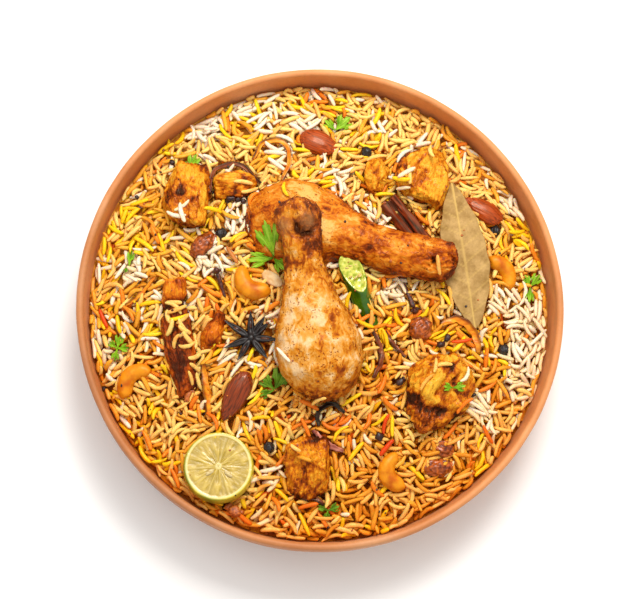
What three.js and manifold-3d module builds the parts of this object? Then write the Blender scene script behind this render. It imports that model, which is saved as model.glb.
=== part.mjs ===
// Chicken biryani heaped in a round clay dish, with its whole spices, nuts, lime and herbs.
// Millimetres, +Z up. The origin is on the table under the centre of the dish, and -Y faces the eater.

import * as THREE from "three";
import { ConvexHull } from "three/addons/math/ConvexHull.js";
import { mergeVertices } from "three/addons/utils/BufferGeometryUtils.js";
import Module from "manifold-3d";

const wasm = await Module();
wasm.setup();

// ---------------------------------------------------------------- driving dimensions

const DISH_RADIUS = 130;
const DISH_HEIGHT = 48;
const DISH_SIDES = 48;
const BASE_RADIUS = 98;
const OUTER_CURVE_TOP = 34;
const FLOOR_RADIUS = 92;
const FLOOR_HEIGHT = 6;
const INNER_CURVE_TOP = 36;
const INNER_RADIUS = 125.4;
const LIP_THICKNESS = 3.8;
const CURVE_STEPS = 5;
const LIP_STEPS = 4;

const HEAP_RADIUS = 121.5;
const HEAP_EDGE_HEIGHT = 31;
const HEAP_RISE = 19;
const HEAP_POWER = 2.2;

const GRAIN_LENGTH = 10.5;
const GRAIN_WIDTH = 2.9;
const GRAIN_HEIGHT = 1.6;
const GRAIN_SPACING = 7;
const GRAIN_TRIES = 30000;
const VALLEY_DEPTH = 1.1;
const VALLEY_SPACING = 2.05;

const GAP = 0.3;
const PLAIN_POCKET_GAP = 1.4;
const LEAF_CLEARANCE = 0.6;
const PEPPERCORN_RADIUS = 2.9;

const COLOUR = {
  clay: 0xd98a55,
  rice: 0xecc784,
  chicken: 0xc4701c,
  drumstick: 0xd9a266,
  almond: 0x8a3b1c,
  cashew: 0xe09b30,
  chilli: 0x2f6a1c,
  cinnamon: 0x4a1d10,
  bay: 0xa9966a,
  star: 0x1d1819,
  lime: 0xc9c45a,
  raisin: 0x6b3414,
  pepper: 0x1c1a1c,
  clove: 0x3a1c12,
  coriander: 0x4f8f2a,
  onion: 0x8a4a1c,
};

// ---------------------------------------------------------------- small helpers

const degrees = THREE.MathUtils.degToRad;

// Seeded random numbers, so that every run gives the same heap.
function seeded(seed) {
  let state = seed;
  return () => {
    state = (state + 0x6d2b79f5) | 0;
    let mixed = Math.imul(state ^ (state >>> 15), 1 | state);
    mixed = (mixed + Math.imul(mixed ^ (mixed >>> 7), 61 | mixed)) ^ mixed;
    return ((mixed ^ (mixed >>> 14)) >>> 0) / 4294967296;
  };
}

// Joins a geometry's shared corners, drops its empty faces and turns its faces outwards.
function closed(geometry) {
  const plain = geometry.clone();
  plain.deleteAttribute("normal");
  plain.deleteAttribute("uv");
  const merged = mergeVertices(plain, 1e-3);
  const corners = merged.index.array;
  const faces = [];
  for (let i = 0; i < corners.length; i += 3) {
    const [a, b, c] = [corners[i], corners[i + 1], corners[i + 2]];
    if (a !== b && b !== c && c !== a) faces.push([a, b, c]);
  }
  merged.setIndex(faces.flat());
  if (volume(merged) < 0) merged.setIndex(faces.flatMap(([a, b, c]) => [a, c, b]));
  return merged;
}

function volume(geometry) {
  const position = geometry.attributes.position;
  const index = geometry.index.array;
  const [a, b, c] = [new THREE.Vector3(), new THREE.Vector3(), new THREE.Vector3()];
  let sum = 0;
  for (let i = 0; i < index.length; i += 3) {
    a.fromBufferAttribute(position, index[i]);
    b.fromBufferAttribute(position, index[i + 1]);
    c.fromBufferAttribute(position, index[i + 2]);
    sum += a.dot(b.cross(c)) / 6;
  }
  return sum;
}

// Moves every corner of a geometry with move(point), which changes the point in place.
function deform(geometry, move) {
  const position = geometry.attributes.position;
  const point = new THREE.Vector3();
  for (let i = 0; i < position.count; i += 1) {
    point.fromBufferAttribute(position, i);
    move(point);
    position.setXYZ(i, point.x, point.y, point.z);
  }
  return closed(geometry);
}

// Smooth lumps about one unit high, at most, for a point of a surface.
function lumps(point, scale, seed) {
  const { x, y, z } = point;
  return (
    Math.sin(x * scale + seed) * Math.cos(y * scale * 1.3 + seed * 2.1) * 0.55 +
    Math.sin(z * scale * 1.7 + x * scale * 0.9 + seed * 3.7) * 0.3 +
    Math.cos(y * scale * 2.3 - z * scale * 1.1 + seed * 5.3) * 0.25
  );
}

// The height of the bare rice at a place in plan, before its grains.
function heapHeight(x, y) {
  const share = Math.min(1, Math.hypot(x, y) / HEAP_RADIUS);
  const uneven = 0.7 * Math.sin(x * 0.07 + 1.3) * Math.cos(y * 0.06 - 0.4) * (1 - share);
  return HEAP_EDGE_HEIGHT + HEAP_RISE * (1 - share ** HEAP_POWER) + uneven;
}

function heapNormal(x, y) {
  const step = 2;
  const slopeX = (heapHeight(x + step, y) - heapHeight(x - step, y)) / (2 * step);
  const slopeY = (heapHeight(x, y + step) - heapHeight(x, y - step)) / (2 * step);
  return new THREE.Vector3(-slopeX, -slopeY, 1).normalize();
}

function onHeap(x, y, lift) {
  return new THREE.Vector3(x, y, heapHeight(x, y) + lift);
}

function makeMesh(name, geometry, colour, roughness = 0.6) {
  const material = new THREE.MeshStandardMaterial({ color: colour, roughness, metalness: 0 });
  const mesh = new THREE.Mesh(geometry, material);
  mesh.name = name;
  return mesh;
}

// Lays a mesh on the slope of the heap: turn is about its own upright, tip lifts its +X end and
// roll lifts its +Y side.
function lay(mesh, { x, y, lift, turn = 0, tip = 0, roll = 0 }) {
  mesh.position.copy(onHeap(x, y, lift));
  const slope = new THREE.Quaternion().setFromUnitVectors(new THREE.Vector3(0, 0, 1), heapNormal(x, y));
  const own = new THREE.Quaternion().setFromEuler(
    new THREE.Euler(degrees(roll), degrees(-tip), degrees(turn), "ZYX"),
  );
  mesh.quaternion.copy(slope).multiply(own);
  return mesh;
}

// Sets a mesh whose length lies along +X from one point to another.
function span(mesh, from, to, roll = 0) {
  const along = to.clone().sub(from).normalize();
  const side = new THREE.Vector3(0, 0, 1).cross(along).normalize();
  const up = along.clone().cross(side);
  const frame = new THREE.Matrix4().makeBasis(along, side, up);
  mesh.position.copy(from).add(to).multiplyScalar(0.5);
  mesh.quaternion.setFromRotationMatrix(frame);
  mesh.rotateX(degrees(roll));
  return mesh;
}

// ---------------------------------------------------------------- joining and cutting

function worldGeometry(mesh, geometry = mesh.geometry) {
  mesh.updateMatrixWorld(true);
  return geometry.clone().applyMatrix4(mesh.matrixWorld);
}

// The space that a piece needs in the rice: its own form with a gap, or a plainer, wider one.
function pocketGeometry(mesh) {
  const { pocket } = mesh.userData;
  return pocket ? grown(worldGeometry(mesh, pocket), PLAIN_POCKET_GAP) : grown(worldGeometry(mesh), GAP);
}

// A copy whose faces all lie further out by the gap.
function grown(geometry, gap) {
  const position = geometry.attributes.position;
  const index = geometry.index.array;
  const meeting = Array.from({ length: position.count }, () => []);
  const triangle = new THREE.Triangle();
  for (let i = 0; i < index.length; i += 3) {
    triangle.setFromAttributeAndIndices(position, index[i], index[i + 1], index[i + 2]);
    const normal = triangle.getNormal(new THREE.Vector3());
    for (let k = 0; k < 3; k += 1) meeting[index[i + k]].push(normal);
  }
  const copy = geometry.clone();
  for (let i = 0; i < position.count; i += 1) {
    const out = meeting[i].reduce((sum, normal) => sum.add(normal), new THREE.Vector3()).normalize();
    const least = Math.min(...meeting[i].map((normal) => normal.dot(out)));
    const move = gap / Math.max(0.45, least);
    copy.attributes.position.setXYZ(
      i,
      position.getX(i) + out.x * move,
      position.getY(i) + out.y * move,
      position.getZ(i) + out.z * move,
    );
  }
  return copy;
}

function toSolid(geometry) {
  const vertProperties = new Float32Array(geometry.attributes.position.array);
  const triVerts = new Uint32Array(geometry.index.array);
  return new wasm.Manifold(new wasm.Mesh({ numProp: 3, vertProperties, triVerts }));
}

function toGeometry(body) {
  const mesh = body.getMesh();
  const geometry = new THREE.BufferGeometry();
  geometry.setAttribute("position", new THREE.BufferAttribute(new Float32Array(mesh.vertProperties), 3));
  geometry.setIndex(Array.from(mesh.triVerts));
  return geometry;
}

// The biggest single body of a cut solid: loose scraps are dropped.
function biggest(body) {
  const bodies = body.decompose();
  return bodies.reduce((best, next) => (next.volume() > best.volume() ? next : best));
}

function join(geometries) {
  const bodies = geometries.map((geometry) => toSolid(closed(geometry)));
  return toGeometry(biggest(bodies.reduce((sum, body) => sum.add(body))));
}

// Cuts the given spaces out of a mesh where they reach into it.
function cutOut(mesh, spaces) {
  const own = worldGeometry(mesh);
  own.computeBoundingBox();
  let body = toSolid(own);
  let changed = false;
  for (const space of spaces) {
    space.computeBoundingBox();
    if (!own.boundingBox.intersectsBox(space.boundingBox)) continue;
    const cut = body.subtract(toSolid(space));
    if (cut.volume() < body.volume() - 1e-6) {
      body = cut;
      changed = true;
    }
  }
  if (changed) mesh.geometry = toGeometry(biggest(body)).applyMatrix4(mesh.matrixWorld.clone().invert());
  return mesh;
}

// Cuts a mesh back where it would cross the others, and leaves the gap to them.
function clearOf(mesh, others) {
  return cutOut(mesh, others.map((other) => grown(worldGeometry(other), GAP)));
}

// ---------------------------------------------------------------- dish

// The inner face of the dish as radius and height, from the floor's edge up to the lip.
function innerProfile() {
  const points = [];
  for (let i = 0; i <= CURVE_STEPS; i += 1) {
    const angle = (i / CURVE_STEPS) * (Math.PI / 2);
    const radius = FLOOR_RADIUS + (INNER_RADIUS - FLOOR_RADIUS) * Math.sin(angle);
    const height = FLOOR_HEIGHT + (INNER_CURVE_TOP - FLOOR_HEIGHT) * (1 - Math.cos(angle));
    points.push(new THREE.Vector2(radius, height));
  }
  return points;
}

function outerProfile() {
  const points = [];
  for (let i = 0; i <= CURVE_STEPS; i += 1) {
    const angle = (i / CURVE_STEPS) * (Math.PI / 2);
    const radius = BASE_RADIUS + (DISH_RADIUS - BASE_RADIUS) * Math.sin(angle);
    const height = OUTER_CURVE_TOP * (1 - Math.cos(angle));
    points.push(new THREE.Vector2(radius, height));
  }
  return points;
}

function lipProfile() {
  const radius = LIP_THICKNESS / 2;
  const points = [];
  for (let i = 0; i <= LIP_STEPS; i += 1) {
    const angle = (i / LIP_STEPS) * Math.PI;
    const across = DISH_RADIUS - radius + radius * Math.cos(angle);
    points.push(new THREE.Vector2(across, DISH_HEIGHT - radius + radius * Math.sin(angle)));
  }
  return points;
}

// Turns a profile about the upright axis: the lathe's own axis is Y, and here it is Z.
function turned(profile, sides) {
  return closed(new THREE.LatheGeometry(profile, sides).rotateX(Math.PI / 2));
}

function makeDish() {
  const profile = [
    new THREE.Vector2(0, 0),
    ...outerProfile(),
    ...lipProfile(),
    ...innerProfile().reverse(),
    new THREE.Vector2(0, FLOOR_HEIGHT),
  ];
  return makeMesh("dish", turned(profile, DISH_SIDES), COLOUR.clay, 0.55);
}

// ---------------------------------------------------------------- chicken

// Share of the length from the knuckle to the round meaty end, and radius there.
const DRUMSTICK_RADII = [
  [0, 0],
  [0.012, 5.5],
  [0.045, 9.4],
  [0.1, 10.4],
  [0.17, 9.4],
  [0.27, 9.3],
  [0.38, 11],
  [0.49, 15],
  [0.6, 19.6],
  [0.72, 22.6],
  [0.83, 21.6],
  [0.92, 16.2],
  [0.975, 9.5],
  [1, 0],
];
const DRUMSTICK_SIDES = 14;
const DRUMSTICK_POCKET_SIDES = 10;
const DRUMSTICK_POCKET_SKIPS = [3, 5, 7];

// A drumstick with its knuckle at -X, from some or all of its stations.
function drumstickForm({ knuckle, end, fullness, flatness, bend, seed }, stations, sides) {
  const length = knuckle.distanceTo(end);
  const profile = stations.map(([share, radius]) => {
    const thigh = THREE.MathUtils.smoothstep(share, 0.3, 0.6);
    return new THREE.Vector2(radius * (1 + (fullness - 1) * thigh), (share - 0.5) * length);
  });
  const lathe = new THREE.LatheGeometry(profile, sides).rotateZ(-Math.PI / 2);
  return deform(lathe, (point) => {
    const share = point.x / length + 0.5;
    const angle = Math.atan2(point.z, point.y);
    const knob = 1 - THREE.MathUtils.smoothstep(share, 0.08, 0.2);
    const meat = THREE.MathUtils.smoothstep(share, 0.3, 0.6);
    const swell = 1 + 0.14 * knob * Math.cos(2 * angle) + 0.05 * lumps(point, 0.09, seed);
    point.y *= swell;
    point.z *= swell * (1 - (1 - flatness) * meat);
    point.y += bend * Math.sin(Math.PI * share);
  });
}

function makeDrumstick(spec) {
  const form = drumstickForm(spec, DRUMSTICK_RADII, DRUMSTICK_SIDES);
  const mesh = makeMesh(spec.name, form, COLOUR.drumstick, 0.4);
  const fewer = DRUMSTICK_RADII.filter((_, i) => !DRUMSTICK_POCKET_SKIPS.includes(i));
  mesh.userData.pocket = drumstickForm(spec, fewer, DRUMSTICK_POCKET_SIDES);
  return span(mesh, spec.knuckle, spec.end);
}

const DRUMSTICKS = [
  {
    name: "drumstick_front",
    knuckle: new THREE.Vector3(-14.6, 52.5, 74.5),
    end: new THREE.Vector3(3.4, -51.5, 55),
    fullness: 1.02,
    flatness: 0.84,
    bend: -1.5,
    seed: 1.7,
  },
  {
    name: "drumstick_back",
    knuckle: new THREE.Vector3(71, 21.4, 58.3),
    end: new THREE.Vector3(-41.5, 53.5, 42.5),
    fullness: 1.06,
    flatness: 0.74,
    bend: 3,
    seed: 4.2,
  },
];

// Boneless pieces: half length, half width and half height of each, and how it lies.
const CHUNKS = [
  { x: -72.6, y: 59.4, lift: 3.6, turn: 96, tip: -7, roll: -6, half: [20, 12.8, 9.5], seed: 2.1 },
  { x: -46, y: 65.6, lift: 1.8, turn: 4, tip: 0, roll: 4, half: [11.8, 7.8, 7.5], seed: 3.4 },
  { x: 54, y: 73, lift: 2.6, turn: 76, tip: 3, roll: 0, half: [15.8, 13.4, 10.5], seed: 5.9 },
  { x: -75.4, y: -19.5, lift: 0.6, turn: -82, tip: 0, roll: 8, half: [31, 8.4, 8], seed: 7.3 },
  { x: -57, y: -15.2, lift: 0.8, turn: 70, tip: 4, roll: 0, half: [12, 5.2, 6.5], seed: 9.1 },
  { x: 62, y: -46, lift: 3.2, turn: 62, tip: 8, roll: 6, half: [23.5, 18, 11.5], seed: 6.6 },
  { x: -6.9, y: -86.3, lift: 2, turn: 84, tip: 4, roll: 0, half: [17, 12, 8], seed: 8.2 },
  { x: 29.8, y: 71.4, lift: 1.4, turn: 82, tip: 0, roll: 0, half: [10.5, 6.2, 6.5], seed: 1.2 },
];
const CHUNK_SQUARENESS = 0.72;

const CHUNK_DETAIL = 2;
const CHUNK_POCKET_DETAIL = 1;
const CHUNK_POCKET_SCALE = 1.05;

// A torn, rounded block of meat, with its faces split more or less finely.
function chunkForm({ half, seed }, detail) {
  const [length, width, height] = half;
  return deform(new THREE.IcosahedronGeometry(1, detail), (point) => {
    const rough = 1 + 0.11 * lumps(point, 2.4, seed) + 0.04 * lumps(point, 7, seed);
    const square = (value) => Math.sign(value) * Math.abs(value) ** CHUNK_SQUARENESS * rough;
    const taper = 1 - 0.16 * point.x;
    point.set(square(point.x) * length, square(point.y) * width * taper, square(point.z) * height);
  });
}

function makeChunk(spec, number) {
  const mesh = makeMesh(`chicken_${number}`, chunkForm(spec, CHUNK_DETAIL), COLOUR.chicken, 0.45);
  const wider = spec.half.map((size) => size * CHUNK_POCKET_SCALE);
  mesh.userData.pocket = chunkForm({ ...spec, half: wider }, CHUNK_POCKET_DETAIL);
  return lay(mesh, spec);
}

// ---------------------------------------------------------------- nuts and dried fruit

// A round form whose poles lie on the X axis.
function longBall(around, along) {
  return new THREE.SphereGeometry(1, around, along).rotateZ(Math.PI / 2);
}

const ALMONDS = [
  { x: -0.7, y: 89.7, lift: 2.2, turn: -22, tip: -3, roll: 6, half: [11, 6.9, 4.6] },
  { x: -45.2, y: -48.9, lift: 2.6, turn: -117, tip: -4, roll: -8, half: [14.2, 6.7, 4.6] },
  { x: 88.4, y: 54.6, lift: 1.4, turn: 150, tip: -3, roll: 0, half: [11.8, 6.3, 4.4] },
];

// An almond: +X is its pointed end.
function makeAlmond(spec, number) {
  const [length, width, height] = spec.half;
  const geometry = deform(longBall(9, 7), (point) => {
    const towardsTip = (point.x + 1) / 2;
    const narrow = 1 - 0.42 * towardsTip ** 2.4;
    point.set(point.x * length * 1.02, point.y * width * narrow * 1.05, point.z * height * narrow);
  });
  return lay(makeMesh(`almond_${number}`, geometry, COLOUR.almond, 0.5), spec);
}

// Each cashew: bend is the radius of its curl and sweep how far it curls round.
const CASHEWS = [
  { x: -33.8, y: 15.4, lift: 2.6, turn: 230, tip: 0, roll: 0, bend: 8.6, sweep: 165, thick: 4.9 },
  { x: -94.7, y: -43.8, lift: 2.6, turn: 135, tip: 0, roll: 0, bend: 9.4, sweep: 150, thick: 4.4 },
  { x: 93.2, y: 16.7, lift: 1.6, turn: 35, tip: 0, roll: 0, bend: 9, sweep: 140, thick: 4.4 },
  { x: 42, y: -86.8, lift: 2.4, turn: 195, tip: 0, roll: 0, bend: 7.4, sweep: 190, thick: 4.7 },
];

const CASHEW_STEPS = 8;
const CASHEW_POCKET_STEPS = 6;

// A cashew: it curls round the origin, with its back towards +X.
function cashewForm({ bend, sweep, thick }, steps) {
  return deform(longBall(steps, steps), (point) => {
    const angle = (point.x * degrees(sweep)) / 2;
    const round = Math.sqrt(Math.max(0, 1 - point.x * point.x));
    const fat = thick * (1 + 0.12 * point.x) * (round > 0 ? round ** 0.45 / round : 0);
    const radius = bend + point.y * fat;
    point.set(radius * Math.cos(angle), radius * Math.sin(angle), point.z * fat);
  });
}

function makeCashew(spec, number) {
  const mesh = makeMesh(`cashew_${number}`, cashewForm(spec, CASHEW_STEPS), COLOUR.cashew, 0.4);
  mesh.userData.pocket = cashewForm(spec, CASHEW_POCKET_STEPS);
  return lay(mesh, spec);
}

const RAISINS = [
  { x: -63.3, y: 32.4, lift: 2, turn: 45, half: [8.2, 5, 4.2], seed: 1.5 },
  { x: 53, y: -11.9, lift: 2, turn: 40, half: [6.9, 6.1, 4.4], seed: 2.9 },
  { x: 62.7, y: -85.2, lift: 1.4, turn: 10, half: [8, 4.9, 3.8], seed: 4.8 },
  { x: 65.6, y: -75.2, lift: 1, turn: -20, half: [5.6, 4.2, 3.6], seed: 6.1 },
];

function makeRaisin(spec, number) {
  const [length, width, height] = spec.half;
  const geometry = deform(longBall(8, 5), (point) => {
    const wrinkle = 1 + 0.09 * Math.sin(4 * Math.atan2(point.z, point.y) + spec.seed + 2 * point.x);
    point.set(point.x * length, point.y * width * wrinkle, point.z * height * wrinkle);
  });
  return lay(makeMesh(`raisin_${number}`, geometry, COLOUR.raisin, 0.5), spec);
}

// ---------------------------------------------------------------- chilli, cinnamon and lime

const CHILLI = {
  low: new THREE.Vector3(29.2, -13.5, 42.5),
  high: new THREE.Vector3(16.6, 17.5, 55.6),
  lowRadius: 4.6,
  highRadius: 6.4,
  cutLength: 20,
  sides: 10,
};

// A green chilli, cut across at a long slant at its upper end.
function makeChilli() {
  const length = CHILLI.low.distanceTo(CHILLI.high);
  const tube = new THREE.CylinderGeometry(CHILLI.highRadius, CHILLI.lowRadius, length, CHILLI.sides, 3);
  const geometry = deform(tube.rotateZ(-Math.PI / 2), (point) => {
    const share = point.x / length + 0.5;
    const slant = (-point.z / (2 * CHILLI.highRadius)) * CHILLI.cutLength;
    point.x += slant * THREE.MathUtils.smoothstep(share, 0.45, 1);
    point.y += 1.2 * Math.sin(Math.PI * share);
  });
  return span(makeMesh("chilli", geometry, COLOUR.chilli, 0.3), CHILLI.low, CHILLI.high);
}

const CINNAMON = {
  high: onHeap(36, 57.4, 3.4),
  low: onHeap(55.5, 32, 3),
  rollRadius: 2.35,
  rollOffset: 2.9,
  bark: 1.1,
  curlSteps: 6,
};

// The middle line of a bark that curls in from both edges into two rolls side by side.
function barkLine() {
  const points = [];
  for (let i = 0; i <= CINNAMON.curlSteps; i += 1) {
    const angle = degrees(10 + (i / CINNAMON.curlSteps) * 265);
    const radius = CINNAMON.rollRadius * (0.72 + 0.28 * (i / CINNAMON.curlSteps));
    const across = radius * Math.cos(angle) - CINNAMON.rollOffset;
    points.push(new THREE.Vector2(across, radius * Math.sin(angle)));
  }
  const mirrored = points.map((point) => new THREE.Vector2(-point.x, point.y)).reverse();
  return [...points, ...mirrored];
}

// The outline of a strip of the given thickness along a line of points.
function stripOutline(line, thickness) {
  const sides = [[], []];
  line.forEach((point, i) => {
    const before = line[Math.max(0, i - 1)];
    const after = line[Math.min(line.length - 1, i + 1)];
    const across = after.clone().sub(before).normalize().rotateAround(new THREE.Vector2(), Math.PI / 2);
    sides[0].push(point.clone().addScaledVector(across, thickness / 2));
    sides[1].unshift(point.clone().addScaledVector(across, -thickness / 2));
  });
  return [...sides[0], ...sides[1]];
}

function makeCinnamon() {
  const shape = new THREE.Shape(stripOutline(barkLine(), CINNAMON.bark));
  const length = CINNAMON.low.distanceTo(CINNAMON.high);
  const quill = new THREE.ExtrudeGeometry(shape, { depth: length, bevelEnabled: false, steps: 1 });
  quill.translate(0, 0, -length / 2).rotateX(Math.PI / 2).rotateZ(Math.PI / 2);
  return span(makeMesh("cinnamon", closed(quill), COLOUR.cinnamon, 0.6), CINNAMON.low, CINNAMON.high);
}

const LIME = {
  x: -53.8,
  y: -86.1,
  faceHeight: 46.4,
  radius: 18.9,
  cutAboveMiddle: 6.2,
  sides: 20,
  steps: 5,
  pocketSides: 14,
  pocketSteps: 4,
};

// Rather more than half a lime, cut face up.
function limeForm(sides, steps) {
  const start = Math.asin(LIME.cutAboveMiddle / LIME.radius);
  const profile = [new THREE.Vector2(0, LIME.cutAboveMiddle)];
  for (let i = 0; i <= steps; i += 1) {
    const angle = start - (i / steps) * (start + Math.PI / 2);
    const radius = i === steps ? 0 : LIME.radius * Math.cos(angle);
    profile.push(new THREE.Vector2(radius, LIME.radius * Math.sin(angle)));
  }
  return turned(profile, sides);
}

function makeLime() {
  const mesh = makeMesh("lime", limeForm(LIME.sides, LIME.steps), COLOUR.lime, 0.35);
  mesh.userData.pocket = limeForm(LIME.pocketSides, LIME.pocketSteps);
  mesh.position.set(LIME.x, LIME.y, LIME.faceHeight - LIME.cutAboveMiddle);
  mesh.rotation.set(degrees(-4), degrees(-2), 0);
  return mesh;
}

// ---------------------------------------------------------------- whole spices

const STAR_ANISE = {
  x: -37.3,
  y: -18.2,
  lift: 2.6,
  turn: 0,
  armWidth: 1.95,
  armHeight: 1.7,
  arms: [
    { angle: 147, length: 17.4 },
    { angle: 91, length: 14.6 },
    { angle: 57, length: 13.9 },
    { angle: 40, length: 12.8 },
    { angle: -4, length: 15 },
    { angle: -52, length: 14.7 },
    { angle: 240, length: 14.4 },
    { angle: 201, length: 15.5 },
  ],
};

// One boat-shaped seed case, from the middle of the star out along +X and up at its beak.
function seedCase(length) {
  return deform(longBall(4, 3), (point) => {
    const share = (point.x + 1) / 2;
    const belly = 1 - 0.45 * Math.abs(share - 0.45);
    point.y *= STAR_ANISE.armWidth * belly;
    point.z = point.z * STAR_ANISE.armHeight + 1.6 * share * share;
    point.x = share * length;
  });
}

function makeStarAnise() {
  const cases = STAR_ANISE.arms.map(({ angle, length }) => seedCase(length).rotateZ(degrees(angle)));
  const stalk = new THREE.CylinderGeometry(1.8, 1.2, 2.6, 6).rotateX(Math.PI / 2);
  return lay(makeMesh("star_anise", join([...cases, stalk]), COLOUR.star, 0.45), STAR_ANISE);
}

const BAY_LEAF = {
  base: new THREE.Vector3(82.3, -11.5, 44.4),
  tip: new THREE.Vector3(70.4, 67.6, 46.6),
  halfWidth: 12.7,
  thickness: 0.8,
  arch: 2.6,
  fold: 0.1,
  alongSteps: 10,
  acrossSteps: 4,
};

// A dry bay leaf: a thin wavy blade, folded a little along its midrib and pointed at both ends.
function makeBayLeaf() {
  const { base, tip, halfWidth, thickness, arch, fold, alongSteps, acrossSteps } = BAY_LEAF;
  const length = base.distanceTo(tip);
  const blade = new THREE.BoxGeometry(1, 1, 1, alongSteps, acrossSteps, 1);
  const geometry = deform(blade, (point) => {
    const share = point.x + 0.5;
    const across = point.y * 2;
    const outline = Math.sin(Math.PI * share ** 0.92) ** 0.85;
    const y = across * (0.6 + (halfWidth - 0.6) * outline);
    const wave = 0.7 * Math.sin(share * 11 + across * 1.6) * Math.abs(across);
    const z = arch * Math.sin(Math.PI * share) + fold * Math.abs(y) + wave + point.z * thickness;
    point.set(point.x * length, y, z);
  });
  return span(makeMesh("bay_leaf", geometry, COLOUR.bay, 0.7), base, tip, 2);
}

const PEPPERCORNS = [
  { x: -53.4, y: 38.7, lift: 1.7 },
  { x: 24.8, y: 85.2, lift: 1.7 },
  { x: -27.4, y: -75.4, lift: 1.7 },
  { x: 98.2, y: -21.6, lift: 1.7 },
  { x: 94.8, y: 43.4, lift: 0 },
];

function makePeppercorn(spec, number) {
  const geometry = deform(longBall(6, 5), (point) => point.multiplyScalar(PEPPERCORN_RADIUS));
  return lay(makeMesh(`peppercorn_${number}`, geometry, COLOUR.pepper, 0.6), { ...spec, tip: 35 });
}

// Each clove: its head and the tail of its stem.
const CLOVES = [
  { head: onHeap(-55.5, 17, 3.6), tail: onHeap(-51, 3.8, 0.4) },
  { head: onHeap(49.6, -1.5, 2), tail: onHeap(43.5, 12.8, 1.4) },
];
const CLOVE_SEPALS = 4;

// A clove: a tapering stem, four spread sepals and a round bud at its +X end.
function makeClove({ head, tail }, number) {
  const length = head.distanceTo(tail);
  const stem = new THREE.CylinderGeometry(1.5, 0.8, length, 4).rotateZ(-Math.PI / 2);
  const bud = longBall(5, 3).scale(1.9, 1.9, 1.9).translate(length / 2 + 1, 0, 0);
  const parts = [stem, bud];
  for (let i = 0; i < CLOVE_SEPALS; i += 1) {
    const sepal = new THREE.ConeGeometry(0.8, 3, 3).rotateZ(-Math.PI / 3).translate(length / 2, 2, 0);
    parts.push(sepal.rotateX((i / CLOVE_SEPALS) * 2 * Math.PI));
  }
  const mesh = makeMesh(`clove_${number}`, join(parts), COLOUR.clove, 0.6);
  mesh.userData.pocket = closed(new THREE.CylinderGeometry(2.6, 0.4, length + 5, 6).rotateZ(-Math.PI / 2));
  return span(mesh, tail, head, 45);
}

// ---------------------------------------------------------------- coriander and fried onion

const HERB_THICKNESS = 0.6;
const HERB_TEETH = 3;
const HERB_NOTCH = 0.74;
const HERB_MIDDLE = 1.1;

const HERB_STEM_LENGTH = 3;
const HERB_STEM_SPREAD = 9;

// Each sprig: its leaflets as [direction, length, half its spread in degrees], and which way its
// stem points.
const CORIANDER = [
  { x: -25.5, y: 24.4, lift: 3.4, stem: -92, leaflets: [[106, 20, 25], [184, 14.5, 24], [-47, 9, 32]] },
  { x: 8, y: 97.4, lift: 2.2, stem: -80, leaflets: [[46, 12, 34], [132, 8.8, 26]] },
  { x: -71, y: 74.6, lift: 2.2, stem: -95, leaflets: [[66, 9.8, 30], [128, 6, 20]] },
  { x: -102.6, y: 21.6, lift: 1.8, stem: -70, leaflets: [[80, 9.4, 17], [-128, 4, 22]] },
  {
    x: -108.2,
    y: -22.4,
    lift: 2,
    stem: -60,
    leaflets: [[74, 8.4, 26], [4, 7, 26], [138, 6.4, 22], [257, 7, 26]],
  },
  { x: -24.8, y: -45.6, lift: 3, stem: -70, leaflets: [[62, 13.4, 33], [136, 10.4, 26], [204, 8.6, 22]] },
  { x: 113.6, y: 13, lift: 2, stem: 200, leaflets: [[50, 9.8, 25], [116, 7.4, 24], [264, 9, 25]] },
  { x: 68.6, y: -45, lift: 14.6, stem: -70, leaflets: [[10, 7.4, 30], [172, 5.4, 34]] },
  { x: 4, y: -108, lift: 1.8, stem: 90, leaflets: [[22, 6.8, 30], [150, 6, 30], [262, 5, 26]] },
];

// A sprig's outline, all of it seen from its middle: each leaflet is a toothed fan.
function sprigOutline({ leaflets, stem }) {
  const reach = [-1, 1].map((side) => [stem + side * HERB_STEM_SPREAD, HERB_STEM_LENGTH]);
  for (const [direction, length, spread] of leaflets) {
    const steps = 2 * HERB_TEETH;
    for (let i = 0; i <= steps; i += 1) {
      const aside = (2 * i) / steps - 1;
      const tooth = i % 2 === 0 ? 1 : HERB_NOTCH;
      const end = Math.abs(aside) === 1 ? 0.55 : 1;
      reach.push([direction + aside * spread, length * tooth * end * (1 - 0.22 * aside * aside)]);
    }
    reach.push([direction + spread + 8, HERB_MIDDLE], [direction - spread - 8, HERB_MIDDLE]);
  }
  const turned = reach.map(([angle, length]) => [THREE.MathUtils.euclideanModulo(angle, 360), length]);
  turned.sort((one, other) => one[0] - other[0]);
  return turned.map(([angle, length]) => {
    return new THREE.Vector2(length * Math.cos(degrees(angle)), length * Math.sin(degrees(angle)));
  });
}

// A thin sprig of soft herb, its two faces split alike and waved together.
function makeCoriander(spec, number) {
  const shape = new THREE.Shape(sprigOutline(spec));
  const sheet = new THREE.ExtrudeGeometry(shape, { depth: HERB_THICKNESS, bevelEnabled: false });
  const geometry = deform(sheet, (point) => {
    point.z += 0.35 * Math.sin(point.x * 0.6 + number) + 0.35 * Math.cos(point.y * 0.5 + number);
  });
  return lay(makeMesh(`coriander_${number}`, geometry, COLOUR.coriander, 0.5), spec);
}

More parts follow.
